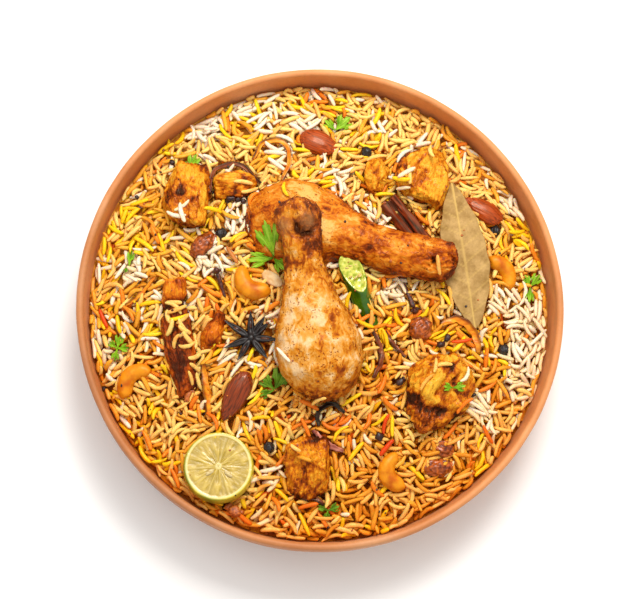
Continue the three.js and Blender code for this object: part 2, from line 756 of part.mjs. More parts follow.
// Each shred of fried onion: the places in plan that it runs through, its lift and its width.
const ONIONS = [
  { route: [[-36.5, 80], [-31, 90], [-20, 90], [-17, 80], [-21, 68]], lift: 1.8, width: 3, steps: 7 },
  { route: [[-62.4, -32], [-60.6, -47], [-59, -61]], lift: 1.4, width: 4, steps: 5 },
  { route: [[-60, 61], [-57, 74], [-44, 77], [-32.5, 66]], lift: 3, width: 2.8, steps: 6 },
  { route: [[-4.5, -66.5], [3, -73.5], [11.6, -77.4]], lift: 2, width: 3.4, steps: 4 },
  { route: [[63.8, -10], [73, -6.6], [81.5, -13], [84.6, -24]], lift: 2.4, width: 3, steps: 6 },
  { route: [[-12, -104.5], [-5, -101], [2, -105]], lift: 1.4, width: 3.2, steps: 4 },
  { route: [[-104, 0.6], [-96, 6.6], [-88, 16.5]], lift: 1.6, width: 2.6, steps: 4 },
  { route: [[33.7, -13.9], [38.5, -21.3], [44.6, -27.5]], lift: 1.6, width: 2.6, steps: 4 },
  { route: [[-1.4, -64.4], [-1.6, -57], [5.6, -52.6], [12.4, -57.4]], lift: 1.8, width: 2.8, steps: 6 },
  { route: [[27.2, -14], [30.9, -22], [31.5, -30.5], [27.3, -39]], lift: 2, width: 3, steps: 5 },
];
const ONION_THICKNESS = 1;

function makeOnion({ route, lift, width, steps }, number) {
  const curve = new THREE.CatmullRomCurve3(route.map(([x, y]) => onHeap(x, y, lift)));
  const strip = new THREE.BoxGeometry(1, 1, 1, steps, 1, 1);
  const geometry = deform(strip, (point) => {
    const share = point.x + 0.5;
    const centre = curve.getPoint(share);
    const along = curve.getTangent(share);
    const side = new THREE.Vector3(0, 0, 1).cross(along).normalize();
    const twist = 0.5 * Math.sin(share * 5 + number);
    const narrow = 1 - 0.35 * Math.abs(2 * share - 1) ** 2;
    const across = point.y * width * narrow;
    const up = point.z * ONION_THICKNESS + Math.sin(twist) * across;
    point.copy(centre).addScaledVector(side, across * Math.cos(twist));
    point.z += up;
  });
  return makeMesh(`onion_${number}`, geometry, COLOUR.onion, 0.5);
}

// ---------------------------------------------------------------- rice

// What lies over a place in plan: how low it comes, and whether it is sunk into the rice there.
function makeCover(toppings) {
  const seen = new THREE.MeshBasicMaterial({ side: THREE.DoubleSide });
  const probes = toppings.map((topping) => new THREE.Mesh(worldGeometry(topping), seen));
  const ray = new THREE.Raycaster();
  return (x, y) => {
    ray.set(new THREE.Vector3(x, y, -1), new THREE.Vector3(0, 0, 1));
    const surface = heapHeight(x, y);
    let ceiling = Infinity;
    let sunk = false;
    for (const probe of probes) {
      const hits = ray.intersectObject(probe, false);
      if (hits.length < 2) continue;
      const low = hits[0].point.z;
      if (low < surface - 1.6) sunk = true;
      else ceiling = Math.min(ceiling, low - LEAF_CLEARANCE);
    }
    return { ceiling, sunk };
  };
}

// A coarse net of cells in plan, to find out quickly what lies near a point.
class NearPoints {
  constructor(cell) {
    this.cell = cell;
    this.cells = new Map();
  }

  key(x, y) {
    return `${Math.floor(x / this.cell)},${Math.floor(y / this.cell)}`;
  }

  add(x, y) {
    const key = this.key(x, y);
    if (!this.cells.has(key)) this.cells.set(key, []);
    this.cells.get(key).push([x, y]);
  }

  isFree(x, y, distance) {
    for (let i = -1; i <= 1; i += 1) {
      for (let j = -1; j <= 1; j += 1) {
        const near = this.cells.get(this.key(x + i * this.cell, y + j * this.cell)) ?? [];
        if (near.some(([px, py]) => Math.hypot(px - x, py - y) < distance)) return false;
      }
    }
    return true;
  }
}

const RICE_EDGE = HEAP_RADIUS + 1.6;
const GRAIN_REACH = HEAP_RADIUS - 2.2;

// Places for grains at random in plan, clear of each other and of what is sunk into the rice.
function scatterGrains(cover, random) {
  const taken = new NearPoints(GRAIN_SPACING);
  const grains = [];
  const half = GRAIN_LENGTH * 0.23;
  for (let i = 0; i < GRAIN_TRIES; i += 1) {
    const radius = GRAIN_REACH * Math.sqrt(random());
    const bearing = random() * 2 * Math.PI;
    const turn = random() * Math.PI;
    const [x, y] = [radius * Math.cos(bearing), radius * Math.sin(bearing)];
    const steps = [-1.4 * half, 0, 1.4 * half].map((s) => [x + s * Math.cos(turn), y + s * Math.sin(turn)]);
    if (!steps.every(([px, py]) => taken.isFree(px, py, GRAIN_SPACING))) continue;
    if (steps.some(([px, py]) => cover(px, py).sunk || Math.hypot(px, py) > GRAIN_REACH)) continue;
    steps.forEach(([px, py]) => taken.add(px, py));
    grains.push({ x, y, turn, half, rise: GRAIN_HEIGHT * (0.55 + 0.6 * random()), slope: random() - 0.5 });
  }
  return grains;
}

// The corners of the rice's top: grain ridges, the valleys round them, and filling points.
function riceCorners(cover) {
  const random = seeded(20260);
  const grains = scatterGrains(cover, random);
  const corners = [];
  const taken = new NearPoints(5);
  const put = (x, y, z) => {
    taken.add(x, y);
    corners.push(new THREE.Vector3(x, y, Math.min(z, cover(x, y).ceiling)));
  };
  for (const { x, y, turn, half, rise, slope } of grains) {
    for (const end of [-1, 1]) {
      const px = x + end * half * Math.cos(turn);
      const py = y + end * half * Math.sin(turn);
      put(px, py, heapHeight(px, py) + rise + end * slope);
    }
  }
  const valley = (x, y, spacing) => {
    if (Math.hypot(x, y) > GRAIN_REACH + 0.8 || !taken.isFree(x, y, spacing)) return;
    put(x, y, heapHeight(x, y) - VALLEY_DEPTH * (0.6 + 0.7 * random()));
  };
  const around = [
    [GRAIN_LENGTH * 0.56, 0],
    [-GRAIN_LENGTH * 0.56, 0],
    [GRAIN_LENGTH * 0.2, GRAIN_WIDTH * 0.72],
    [-GRAIN_LENGTH * 0.2, -GRAIN_WIDTH * 0.72],
    [-GRAIN_LENGTH * 0.2, GRAIN_WIDTH * 0.72],
    [GRAIN_LENGTH * 0.2, -GRAIN_WIDTH * 0.72],
  ];
  for (const [along, across] of around) {
    for (const { x, y, turn } of grains) {
      const [c, s] = [Math.cos(turn), Math.sin(turn)];
      const [px, py] = [x + along * c - across * s, y + along * s + across * c];
      if (!cover(px, py).sunk) valley(px, py, VALLEY_SPACING);
    }
  }
  return corners;
}

// Joins corners into triangles in plan: the lower side of the hull of the corners lifted onto a
// paraboloid. One point far above them closes the hull, and its faces are left out.
function triangulate(corners) {
  const lifted = corners.map((corner, index) => {
    const point = new THREE.Vector3(corner.x, corner.y, (corner.x ** 2 + corner.y ** 2) / HEAP_RADIUS);
    point.index = index;
    return point;
  });
  const apex = new THREE.Vector3(0, 0, 100 * HEAP_RADIUS);
  apex.index = -1;
  const hull = new ConvexHull().setFromPoints([...lifted, apex]);
  const faces = [];
  for (const face of hull.faces) {
    const trio = [face.getEdge(0), face.getEdge(1), face.getEdge(2)].map((edge) => edge.head().point.index);
    if (!trio.includes(-1)) faces.push([trio[0], trio[2], trio[1]]);
  }
  return faces;
}

// The inside radius of the dish at a height, as its flat faces give it.
function wallRadius(height) {
  const profile = innerProfile();
  for (let i = 1; i < profile.length; i += 1) {
    const [low, high] = [profile[i - 1], profile[i]];
    if (height <= high.y) {
      return THREE.MathUtils.mapLinear(height, low.y, high.y, low.x, high.x);
    }
  }
  return INNER_RADIUS;
}

// Rings of corners that close the rice against the dish, from its top edge down to the floor.
function riceRings() {
  const random = seeded(77);
  const clearance = GAP * 1.3;
  const rings = [[]];
  const lower = innerProfile().filter((_, i) => i === 0 || i === 2).reverse();
  for (let i = 0; i < DISH_SIDES; i += 1) {
    const height = HEAP_EDGE_HEIGHT - 2 + 2.4 * random();
    rings[0].push({ radius: wallRadius(height) - clearance, height });
  }
  for (const point of lower) {
    rings.push(rings[0].map(() => ({ radius: point.x - clearance, height: point.y + clearance })));
  }
  return rings;
}

function makeRice(toppings) {
  const cover = makeCover(toppings);
  const rings = riceRings();
  const bearing = (i) => (i / DISH_SIDES) * 2 * Math.PI;
  const inPlan = rings[0].map((_, i) => {
    return new THREE.Vector3(RICE_EDGE * Math.sin(bearing(i)), RICE_EDGE * Math.cos(bearing(i)), 0);
  });
  const inner = riceCorners(cover);
  const faces = triangulate([...inPlan, ...inner]);
  const ringCorners = rings.map((ring) =>
    ring.map(({ radius, height }, i) => {
      return new THREE.Vector3(radius * Math.sin(bearing(i)), radius * Math.cos(bearing(i)), height);
    }),
  );
  const corners = [...ringCorners[0], ...inner, ...ringCorners.slice(1).flat()];
  const start = (ring) => (ring === 0 ? 0 : inner.length + ring * DISH_SIDES);
  for (let ring = 1; ring < rings.length; ring += 1) {
    for (let i = 0; i < DISH_SIDES; i += 1) {
      const next = (i + 1) % DISH_SIDES;
      const [a, b] = [start(ring - 1) + i, start(ring - 1) + next];
      const [c, d] = [start(ring) + i, start(ring) + next];
      faces.push([a, b, d], [a, d, c]);
    }
  }
  const lowest = start(rings.length - 1);
  const floor = corners.push(new THREE.Vector3(0, 0, rings.at(-1)[0].height)) - 1;
  for (let i = 0; i < DISH_SIDES; i += 1) {
    faces.push([lowest + i, lowest + ((i + 1) % DISH_SIDES), floor]);
  }
  const geometry = new THREE.BufferGeometry().setFromPoints(corners);
  geometry.setIndex(faces.flat());
  const heap = makeMesh("rice", closed(geometry), COLOUR.rice, 0.6);
  return cutOut(heap, toppings.map(pocketGeometry));
}

// ---------------------------------------------------------------- the whole plateful

// Everything on the rice, the firmest first: each piece gives way to those before it.
function makeToppings() {
  const pieces = [
    ...DRUMSTICKS.map(makeDrumstick),
    ...CHUNKS.map((spec, i) => makeChunk(spec, i + 1)),
    makeLime(),
    ...ALMONDS.map((spec, i) => makeAlmond(spec, i + 1)),
    ...CASHEWS.map((spec, i) => makeCashew(spec, i + 1)),
    makeCinnamon(),
    makeChilli(),
    makeStarAnise(),
    ...PEPPERCORNS.map((spec, i) => makePeppercorn(spec, i + 1)),
    ...CLOVES.map((spec, i) => makeClove(spec, i + 1)),
    ...RAISINS.map((spec, i) => makeRaisin(spec, i + 1)),
    makeBayLeaf(),
    ...ONIONS.map((spec, i) => makeOnion(spec, i + 1)),
    ...CORIANDER.map((spec, i) => makeCoriander(spec, i + 1)),
  ];
  const laid = [];
  for (const piece of pieces) {
    laid.push(clearOf(piece, laid));
  }
  return laid;
}

const toppings = makeToppings();
const biryani = new THREE.Group();
biryani.add(makeDish(), makeRice(toppings), ...toppings);

export default biryani;
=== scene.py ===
# Chicken biryani in a clay dish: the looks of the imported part, as real grains, meat, nuts, whole
# spices and herbs in place of its plain solids. Sizes are millimetres here, and metres in Blender.

import itertools
import math

import bmesh
import bpy
import numpy as np
from mathutils import Euler, Matrix, Vector
from mathutils.bvhtree import BVHTree


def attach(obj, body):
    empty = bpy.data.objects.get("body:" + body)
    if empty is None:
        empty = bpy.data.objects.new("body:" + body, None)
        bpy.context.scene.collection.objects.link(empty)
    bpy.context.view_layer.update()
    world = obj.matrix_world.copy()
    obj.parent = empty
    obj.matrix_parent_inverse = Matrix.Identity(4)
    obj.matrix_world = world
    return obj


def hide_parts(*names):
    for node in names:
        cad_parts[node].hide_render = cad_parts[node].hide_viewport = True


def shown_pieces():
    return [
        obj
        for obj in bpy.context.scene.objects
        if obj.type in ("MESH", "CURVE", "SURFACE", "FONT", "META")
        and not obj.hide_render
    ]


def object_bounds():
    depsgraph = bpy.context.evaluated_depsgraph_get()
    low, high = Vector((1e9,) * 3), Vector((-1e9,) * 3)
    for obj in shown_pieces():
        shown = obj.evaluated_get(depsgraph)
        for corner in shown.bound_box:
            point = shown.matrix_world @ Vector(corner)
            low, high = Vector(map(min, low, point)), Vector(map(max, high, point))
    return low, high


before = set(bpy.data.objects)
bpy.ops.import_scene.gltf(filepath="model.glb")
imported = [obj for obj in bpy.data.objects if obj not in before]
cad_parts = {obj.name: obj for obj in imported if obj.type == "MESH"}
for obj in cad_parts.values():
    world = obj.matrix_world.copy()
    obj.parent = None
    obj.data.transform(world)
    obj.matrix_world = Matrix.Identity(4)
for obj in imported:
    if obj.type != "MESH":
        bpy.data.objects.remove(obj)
CAD_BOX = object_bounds()

MM = 0.001
BODY = "root"
UP = Vector((0, 0, 1))
FULL_TURN = 2 * math.pi
# A height above all the food, from which it is looked at from above.
OVERHEAD = 100

# ---------------------------------------------------------------- the dish's size, and the heap's

DISH_RADIUS = 130
DISH_HEIGHT = 48
BASE_RADIUS = 98
OUTER_CURVE_TOP = 34
FLOOR_RADIUS = 92
FLOOR_HEIGHT = 6
INNER_CURVE_TOP = 36
INNER_RADIUS = 125.4
LIP_RADIUS = 1.9

HEAP_RADIUS = 121.5
HEAP_EDGE_HEIGHT = 31
HEAP_RISE = 19
HEAP_POWER = 2.2


def heap_height(x, y):
    """How high the rice comes at a place in plan."""
    share = np.minimum(1, np.hypot(x, y) / HEAP_RADIUS)
    ripple = 0.7 * np.sin(0.07 * x + 1.3) * np.cos(0.06 * y - 0.4)
    return HEAP_EDGE_HEIGHT + HEAP_RISE * (1 - share**HEAP_POWER) + ripple * (1 - share)


def on_heap(x, y, lift):
    return Vector((x, y, heap_height(x, y) + lift))


def heap_normal(x, y):
    step = 2
    slope_x = (heap_height(x + step, y) - heap_height(x - step, y)) / (2 * step)
    slope_y = (heap_height(x, y + step) - heap_height(x, y - step)) / (2 * step)
    return Vector((-slope_x, -slope_y, 1)).normalized()


def laid(x, y, lift, turn=0, tip=0, roll=0):
    """Where a piece lies on the heap's slope: tip lifts its +X end and roll lifts its +Y side."""
    slope = UP.rotation_difference(heap_normal(x, y))
    own = Euler((math.radians(roll), math.radians(-tip), math.radians(turn))).to_quaternion()
    return Matrix.LocRotScale(on_heap(x, y, lift), slope @ own, None)


def spanning(start, end, roll=0):
    """Where a piece lies whose length, along +X, runs from one point to another."""
    along = (end - start).normalized()
    side = UP.cross(along).normalized()
    basis = Matrix((along, side, along.cross(side))).transposed()
    turn = basis @ Matrix.Rotation(math.radians(roll), 3, "X")
    return Matrix.Translation((start + end) / 2) @ turn.to_4x4()


def turned(axis, degrees):
    """A turn about one axis."""
    return Matrix.Rotation(math.radians(degrees), 4, axis)


# ---------------------------------------------------------------- noise


def lattice(cell, seed):
    """A fixed random number from 0 to 1 for each cell of whole numbers."""
    x, y, z = (cell[..., axis].astype(np.uint32) for axis in range(3))
    mixed = x * np.uint32(73856093) ^ y * np.uint32(19349663) ^ z * np.uint32(83492791)
    mixed = mixed ^ np.uint32(seed * 7919 + 17)
    for shift, factor in ((15, 2246822519), (13, 3266489917)):
        mixed = (mixed ^ (mixed >> np.uint32(shift))) * np.uint32(factor)
    return (mixed >> np.uint32(8)).astype(float) / 2**24


def noise(points, size, seed):
    """Smooth noise from -1 to 1 with features of a size, which may differ for x, y and z."""
    at = np.asarray(points, float) / size
    cell = np.floor(at).astype(np.int64)
    part = at - cell
    blend = part * part * (3 - 2 * part)
    total = np.zeros(at.shape[:-1])
    for corner in itertools.product((0, 1), repeat=3):
        weight = np.prod(np.where(corner, blend, 1 - blend), axis=-1)
        total += weight * lattice(cell + np.array(corner), seed)
    return 2 * total - 1


def rough(points, size, octaves, seed):
    """Noise with finer and weaker noise on top."""
    total, reach = 0, 0
    for octave in range(octaves):
        share = 0.5**octave
        total = total + share * noise(points, np.asarray(size) * share, seed + octave)
        reach += share
    return total / reach


def ridged(points, size, seed):
    """Noise from 0 to 1 with thin crests at 1."""
    return (1 - np.abs(noise(points, size, seed))) ** 2


def warped(points, size, reach, seed):
    """Points pushed about by noise, so that a texture on them runs crooked."""
    shift = np.stack([noise(points, size, seed + axis) for axis in range(3)], -1)
    return points + reach * shift


def smooth_step(value, low, high):
    share = np.clip((value - low) / (high - low), 0, 1)
    return share * share * (3 - 2 * share)


def bell(value, width):
    return np.exp(-((value / width) ** 2))


# ---------------------------------------------------------------- forms: points, and groups of faces


def closed_form(rings, sides, place):
    """A closed form round +X. rings are shares of its length, with a pole at the first and the last,
    and place gives the points for shares and angles."""
    shares = np.asarray(rings, float)
    angles = np.linspace(0, FULL_TURN, sides, endpoint=False)
    inner = len(shares) - 2
    share = np.concatenate([shares[:1], np.repeat(shares[1:-1], sides), shares[-1:]])
    angle = np.concatenate([[0], np.tile(angles, inner), [0]])
    points = np.stack(np.broadcast_arrays(*place(share, angle)), -1).astype(float)
    here = np.arange(sides)
    after = (here + 1) % sides
    low = 1 + np.arange(inner - 1)[:, None] * sides
    quads = np.stack([low + here, low + after, low + sides + after, low + sides + here], -1)
    top = 1 + (inner - 1) * sides
    first = np.stack([1 + after, 1 + here, 0 * here], -1)
    last = np.stack([top + here, top + after, 0 * here + len(points) - 1], -1)
    return points, [quads.reshape(-1, 4), first, last]


def lathed(profile, sides, place):
    """A closed form whose outline is a list of radii and heights, from pole to pole. place gives
    the points for radii, heights and angles."""
    radii, heights = np.array(profile, float).T

    def place_step(share, angle):
        step = np.round(share * (len(radii) - 1)).astype(int)
        return place(radii[step], heights[step], angle)

    return closed_form(np.linspace(0, 1, len(radii)), sides, place_step)


def ball_shares(count):
    """Shares of a length that are close together at both ends."""
    return (1 - np.cos(np.linspace(0, math.pi, count))) / 2


def ring_size(x):
    """The radius of a ball of radius 1 at a place along its axis."""
    return np.sqrt(np.maximum(0, 1 - x * x))


def ball(half, rings, sides):
    """An egg-like form with the given half sizes."""

    def place(share, angle):
        x = 2 * share - 1
        ring = ring_size(x)
        return half[0] * x, half[1] * ring * np.cos(angle), half[2] * ring * np.sin(angle)

    return closed_form(ball_shares(rings), sides, place)


def slab(under, rows, columns, thickness):
    """A thin closed form whose under side is a grid of points. Its faces look inward."""
    grid = np.arange(rows * columns).reshape(rows, columns)
    quads = np.stack([grid[:-1, :-1], grid[1:, :-1], grid[1:, 1:], grid[:-1, 1:]], -1).reshape(-1, 4)
    top = under + normals((under, [quads])) * thickness
    edge = np.concatenate([grid[0, :], grid[1:, -1], grid[-1, -2::-1], grid[-2:0:-1, 0]])
    after = np.roll(edge, -1)
    rim = np.stack([edge, after, after + len(top), edge + len(top)], -1)
    return np.concatenate([under, top]), [quads, quads[:, ::-1] + len(top), rim]


def icosphere(detail):
    made = bmesh.new()
    bmesh.ops.create_icosphere(made, subdivisions=detail, radius=1)
    points = np.array([corner.co for corner in made.verts])
    faces = np.array([[corner.index for corner in face.verts] for face in made.faces])
    made.free()
    return points, [faces]


def normals(form):
    points, faces = form
    out = np.zeros_like(points)
    for group in faces:
        first, second, third = (points[group[:, corner]] for corner in range(3))
        across = np.cross(second - first, third - first)
        for corner in range(group.shape[1]):
            np.add.at(out, group[:, corner], across)
    return out / np.maximum(1e-9, np.linalg.norm(out, axis=1))[:, None]


def raised(form, amount):
    """A form with its surface moved out by an amount at each point."""
    return form[0] + normals(form) * np.asarray(amount)[..., None], form[1]


def moved(form, place):
    matrix = np.array(place)
    return form[0] @ matrix[:3, :3].T + matrix[:3, 3], form[1]


def merged(forms):
    points, faces, start = [], [], 0
    for form_points, form_faces in forms:
        points.append(form_points)
        faces += [group + start for group in form_faces]
        start += len(form_points)
    return np.concatenate(points), faces


def add_piece(name, form, material, slot, nodes=(), place=None, **masks):
    """Makes a form a piece that rides on the body. Each mask is a number at every point, and the
    textures use the points as they are before the piece is put in its place."""
    points, faces = moved(form, place) if place is not None else form
    mesh = bpy.data.meshes.new(name)
    mesh.from_pydata((points * MM).tolist(), [], [face for group in faces for face in group.tolist()])
    mesh.polygons.foreach_set("use_smooth", np.ones(len(mesh.polygons), bool))
    layer = mesh.attributes.new("own_place", "FLOAT_VECTOR", "POINT")
    layer.data.foreach_set("vector", np.asarray(form[0], np.float32).ravel())
    for mask, values in masks.items():
        layer = mesh.attributes.new(mask, "FLOAT", "POINT")
        layer.data.foreach_set("value", np.broadcast_to(values, len(points)).astype(np.float32))
    mesh.materials.append(material)
    mesh.update()
    piece = bpy.data.objects.new(name, mesh)
    bpy.context.collection.objects.link(piece)
    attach(piece, BODY)
    if nodes:
        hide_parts(*nodes)


def piece_tree(names):
    """The surfaces of some pieces as one tree, in millimetres."""
    points, faces = [], []
    for name in names:
        mesh = bpy.data.objects[name].data
        start = len(points)
        points += [corner.co / MM for corner in mesh.vertices]
        faces += [[start + i for i in face.vertices] for face in mesh.polygons]
    return BVHTree.FromPolygons(points, faces)


# ---------------------------------------------------------------- materials

# The tint of what shines in food: oil, and a sauce of oil and spice.
OILY = dict(Specular_Tint=(1.0, 0.82, 0.52, 1.0))
SAUCY = dict(Specular_IOR_Level=0.28, Specular_Tint=(1.0, 0.66, 0.28, 1.0))


def screen(red, green, blue):
    """The linear colour of a screen colour from 0 to 255."""
    shares = (level / 255 for level in (red, green, blue))
    return tuple(s / 12.92 if s < 0.04045 else ((s + 0.055) / 1.055) ** 2.4 for s in shares) + (1.0,)


def linear(colour):
    """A shader colour for a screen colour or a grey."""
    return screen(*colour) if isinstance(colour, tuple) else (colour, colour, colour, 1.0)


class Paint:
    """Builds one procedural material from nodes. Texture sizes are millimetres, and colours are
    screen colours from 0 to 255, or greys from 0 to 1."""

    def __init__(self, name, roughness, **sockets):
        self.material = bpy.data.materials.new(name)
        self.material.use_nodes = True
        self.tree = self.material.node_tree
        self.shader = self.tree.nodes["Principled BSDF"]
        self.shader.inputs["Roughness"].default_value = roughness
        for socket, value in sockets.items():
            self.shader.inputs[socket.replace("_", " ")].default_value = value
        self.own = self.node("ShaderNodeAttribute", attribute_name="own_place").outputs["Vector"]

    def node(self, kind, links=(), **settings):
        made = self.tree.nodes.new(kind)
        for name, value in settings.items():
            setattr(made, name, value)
        for socket, source in links:
            if isinstance(source, bpy.types.NodeSocket):
                self.tree.links.new(source, made.inputs[socket])
            else:
                made.inputs[socket].default_value = source
        return made

    def noise(self, size, detail, warp=0):
        """Noise with features of a size, which may differ for the piece's own x, y and z."""
        sizes = size if isinstance(size, tuple) else (size,) * 3
        scale = tuple(1 / length for length in sizes)
        place = self.node("ShaderNodeMapping", [("Vector", self.own), ("Scale", scale)]).outputs[0]
        links = [("Vector", place), ("Scale", 1.0), ("Detail", detail), ("Distortion", warp)]
        return self.node("ShaderNodeTexNoise", links).outputs[0]

    def mask(self, name):
        return self.node("ShaderNodeAttribute", attribute_name=name).outputs["Fac"]

    def ramp(self, value, *stops):
        """Colours along a value: each stop is a position and a colour."""
        made = self.node("ShaderNodeValToRGB", [(0, value)])
        elements = made.color_ramp.elements
        while len(elements) < len(stops):
            elements.new(0.5)
        for element, (position, colour) in zip(elements, stops):
            element.position = position
            element.color = linear(colour)
        return made.outputs[0]

    def blotches(self, size, detail, *stops):
        return self.ramp(self.noise(size, detail), *stops)

    def spots(self, size, detail, low, high):
        """Where the noise lies between two levels, from 0 to 1."""
        links = [("Value", self.noise(size, detail)), ("From Min", low), ("From Max", high)]
        return self.node("ShaderNodeMapRange", links, clamp=True).outputs[0]

    def mix(self, share, first, second, blend="MIX"):
        colours = [linear(colour) if isinstance(colour, tuple) else colour for colour in (first, second)]
        links = [(0, share), (6, colours[0]), (7, colours[1])]
        return self.node("ShaderNodeMix", links, data_type="RGBA", blend_type=blend).outputs[2]

    def maths(self, operation, first, second):
        return self.node("ShaderNodeMath", [(0, first), (1, second)], operation=operation).outputs[0]

    def times(self, first, second):
        return self.maths("MULTIPLY", first, second)

    def crust(self, mask, mottle, colours, within, over):
        """Colours along a mask, from the clean surface to the burnt one, whose darker colours also serve
        as painted shade. A mottle breaks them up, by a share of the mask, and by as much everywhere."""
        value = self.mask(mask)
        spread = self.maths("SUBTRACT", self.noise(*mottle), 0.5)
        inner = self.times(value, self.times(spread, within))
        broken = self.maths("ADD", self.maths("ADD", value, inner), self.times(spread, over))
        return self.ramp(broken, *zip(np.linspace(0.08, 0.95, len(colours)).tolist(), colours))

    def finish(self, colour, *layers):
        """Sets the colour and the bumps, each a height source and how deep it goes, in millimetres."""
        self.tree.links.new(colour, self.shader.inputs["Base Color"])
        normal = None
        for source, depth in layers:
            links = [("Height", source), ("Distance", depth * MM), ("Strength", 1.0)]
            made = self.node("ShaderNodeBump", links)
            if normal:
                self.tree.links.new(normal, made.inputs["Normal"])
            normal = made.outputs[0]
        self.tree.links.new(normal, self.shader.inputs["Normal"])
        return self.material


def clay_paint():
    """Fired clay: warm and uneven, with fine grit, darker smudges, and painted shade on the side away
    from the light.
    """
    paint = Paint("fired_clay", 0.55, Specular_IOR_Level=0.35)
    drift = paint.blotches(45, 4, (0.3, (204, 126, 68)), (0.52, (220, 146, 88)), (0.72, (230, 166, 114)))
    grit = paint.blotches(1.6, 2, (0.3, 0.84), (0.6, 1.0))
    speckled = paint.mix(0.5, drift, grit, "MULTIPLY")
    smudges = paint.spots((60, 60, 18), 3, 0.58, 0.8)
    smudged = paint.mix(smudges, speckled, paint.mix(0.5, speckled, (150, 88, 50)))
    # Painted shade: the outer wall and the lip's top darken on the side away from the light.
    smoked = paint.mix(paint.mask("smoked"), smudged, (118, 62, 36))
    return paint.finish(smoked, (paint.noise(22, 2), 0.35), (paint.noise(1.2, 2), 0.06))


def grain_paint(name, pale, deep, stain, stain_share):
    """Cooked rice: each grain its own tint, which also carries painted shade, with spiced oil that stains
    it in patches.
    """
    glow = dict(Subsurface_Weight=0.45, Subsurface_Scale=0.0016, Subsurface_Radius=(1.0, 0.55, 0.25))
    paint = Paint(name, 0.38, Specular_IOR_Level=0.32, **OILY, **glow)
    tinted = paint.mix(paint.mask("tint"), pale, deep)
    oily = paint.times(paint.spots(5.5, 3, 0.47, 0.66), stain_share)
    stained = paint.mix(oily, tinted, paint.mix(0.7, tinted, stain))
    specks = paint.times(paint.spots(0.9, 2, 0.69, 0.75), 0.5)
    return paint.finish(paint.mix(specks, stained, (140, 70, 18)), (paint.noise(1.0, 2), 0.06))


def bed_paint():
    """The oily golden rice deep between the loose grains, painted paler on the dish's far side as light
    in the shade between the grains.
    """
    paint = Paint("rice_bed_paint", 0.6, Specular_IOR_Level=0.2, **OILY)
    patches = paint.noise(5, 4)
    oily = paint.ramp(patches, (0.3, (116, 48, 2)), (0.5, (168, 84, 6)), (0.7, (208, 128, 18)))
    pale = paint.ramp(patches, (0.3, (186, 104, 18)), (0.5, (220, 146, 44)), (0.7, (238, 180, 84)))
    return paint.finish(paint.mix(paint.mask("far"), oily, pale), (paint.noise(2.4, 3), 0.8))


def skin_paint(name, colours):
    """Roast chicken skin: pale fat, a rough coat of spice with painted shade in it, dark flecks,
    hollows painted dark as shade, and an oily sheen.
    """
    paint = Paint(name, 0.4, Coat_Weight=0.06, Coat_Roughness=0.16, **SAUCY)
    coat = paint.crust("spice", ((4.6, 3.4, 3.4), 8, 1.2), colours, 1.5, 0.55)
    coat = paint.mix(0.4, coat, paint.blotches(1.2, 3, (0.36, 0.8), (0.54, 1.0)), "MULTIPLY")
    flecks = paint.times(paint.spots(1.0, 3, 0.57, 0.63), paint.spots(8, 3, 0.46, 0.56))
    flecked = paint.mix(flecks, coat, (134, 54, 10))
    bare = paint.blotches(4, 3, (0.35, (142, 88, 44)), (0.65, (180, 124, 76)))
    boned = paint.mix(paint.mask("bone"), flecked, bare)
    # The hollows at the knuckle are painted dark, as shade.
    hollowed = paint.mix(paint.mask("hollow"), boned, (64, 26, 10))
    return paint.finish(hollowed, (paint.noise((3.4, 2, 2), 5), 0.7), (paint.noise(0.8, 3), 0.28))


def meat_paint(name, colours):
    """Spiced boneless chicken: golden where it stands proud, browned in places, and painted darker in its
    folds and underneath, as shade.
    """
    paint = Paint(name, 0.4, Coat_Weight=0.08, Coat_Roughness=0.14, **SAUCY)
    strands = paint.noise((6, 1.3, 1.3), 5, 0.6)
    coat = paint.crust("browned", ((2.6, 1.6, 1.6), 8, 0.8), colours, 0.4, 1.0)
    coat = paint.mix(0.6, coat, paint.ramp(strands, (0.34, 0.66), (0.58, 1.0)), "MULTIPLY")
    flecks = paint.times(paint.spots(1.1, 2, 0.64, 0.7), 0.75)
    return paint.finish(paint.mix(flecks, coat, (84, 30, 6)), (strands, 0.8), (paint.noise(0.9, 4), 0.4))


def nut_paint(name, light, deep, size, roughness=0.4, shine=0.0):
    """A nut's surface, with streaks along it."""
    coat = dict(Coat_Weight=shine, Coat_Roughness=0.2)
    paint = Paint(name, roughness, Specular_IOR_Level=0.4, **OILY, **coat)
    streaks = paint.blotches(size, 4, (0.32, deep), (0.62, light))
    blotches = paint.blotches(6, 3, (0.35, 0.8), (0.65, 1.0))
    return paint.finish(paint.mix(0.8, streaks, blotches, "MULTIPLY"), (paint.noise(size, 3), 0.22))


def dried_paint(name, light, deep, size, roughness, depth):
    """A dried spice: dark, with a fine uneven grain."""
    paint = Paint(name, roughness, Specular_IOR_Level=0.45)
    colour = paint.blotches(size, 4, (0.35, deep), (0.68, light))
    return paint.finish(colour, (paint.noise(size, 3), depth))


def leaf_paint(name, light, deep, vein, roughness=0.45):
    """A leaf: blotched, with paler veins."""
    paint = Paint(name, roughness, Specular_IOR_Level=0.3, **OILY)
    blade = paint.blotches(5.5, 4, (0.32, deep), (0.66, light))
    freckles = paint.blotches(0.9, 2, (0.34, 0.74), (0.5, 1.0))
    speckled = paint.mix(0.5, blade, freckles, "MULTIPLY")
    veined = paint.mix(paint.times(paint.mask("vein"), 0.7), speckled, vein)
    return paint.finish(veined, (paint.mask("vein"), 0.25), (paint.noise(1.3, 2), 0.12))


def onion_paint(name, light, deep, burnt):
    """Fried onion: oily, see-through looking, and burnt at its edges."""
    paint = Paint(name, 0.35, Specular_IOR_Level=0.45, Coat_Weight=0.1, Coat_Roughness=0.15, **OILY)
    flesh = paint.blotches((5, 2.2, 2.2), 3, (0.36, deep), (0.64, light))
    edged = paint.mix(paint.mask("edge"), flesh, burnt)
    return paint.finish(edged, (paint.noise((6, 0.9, 0.9), 2), 0.25))


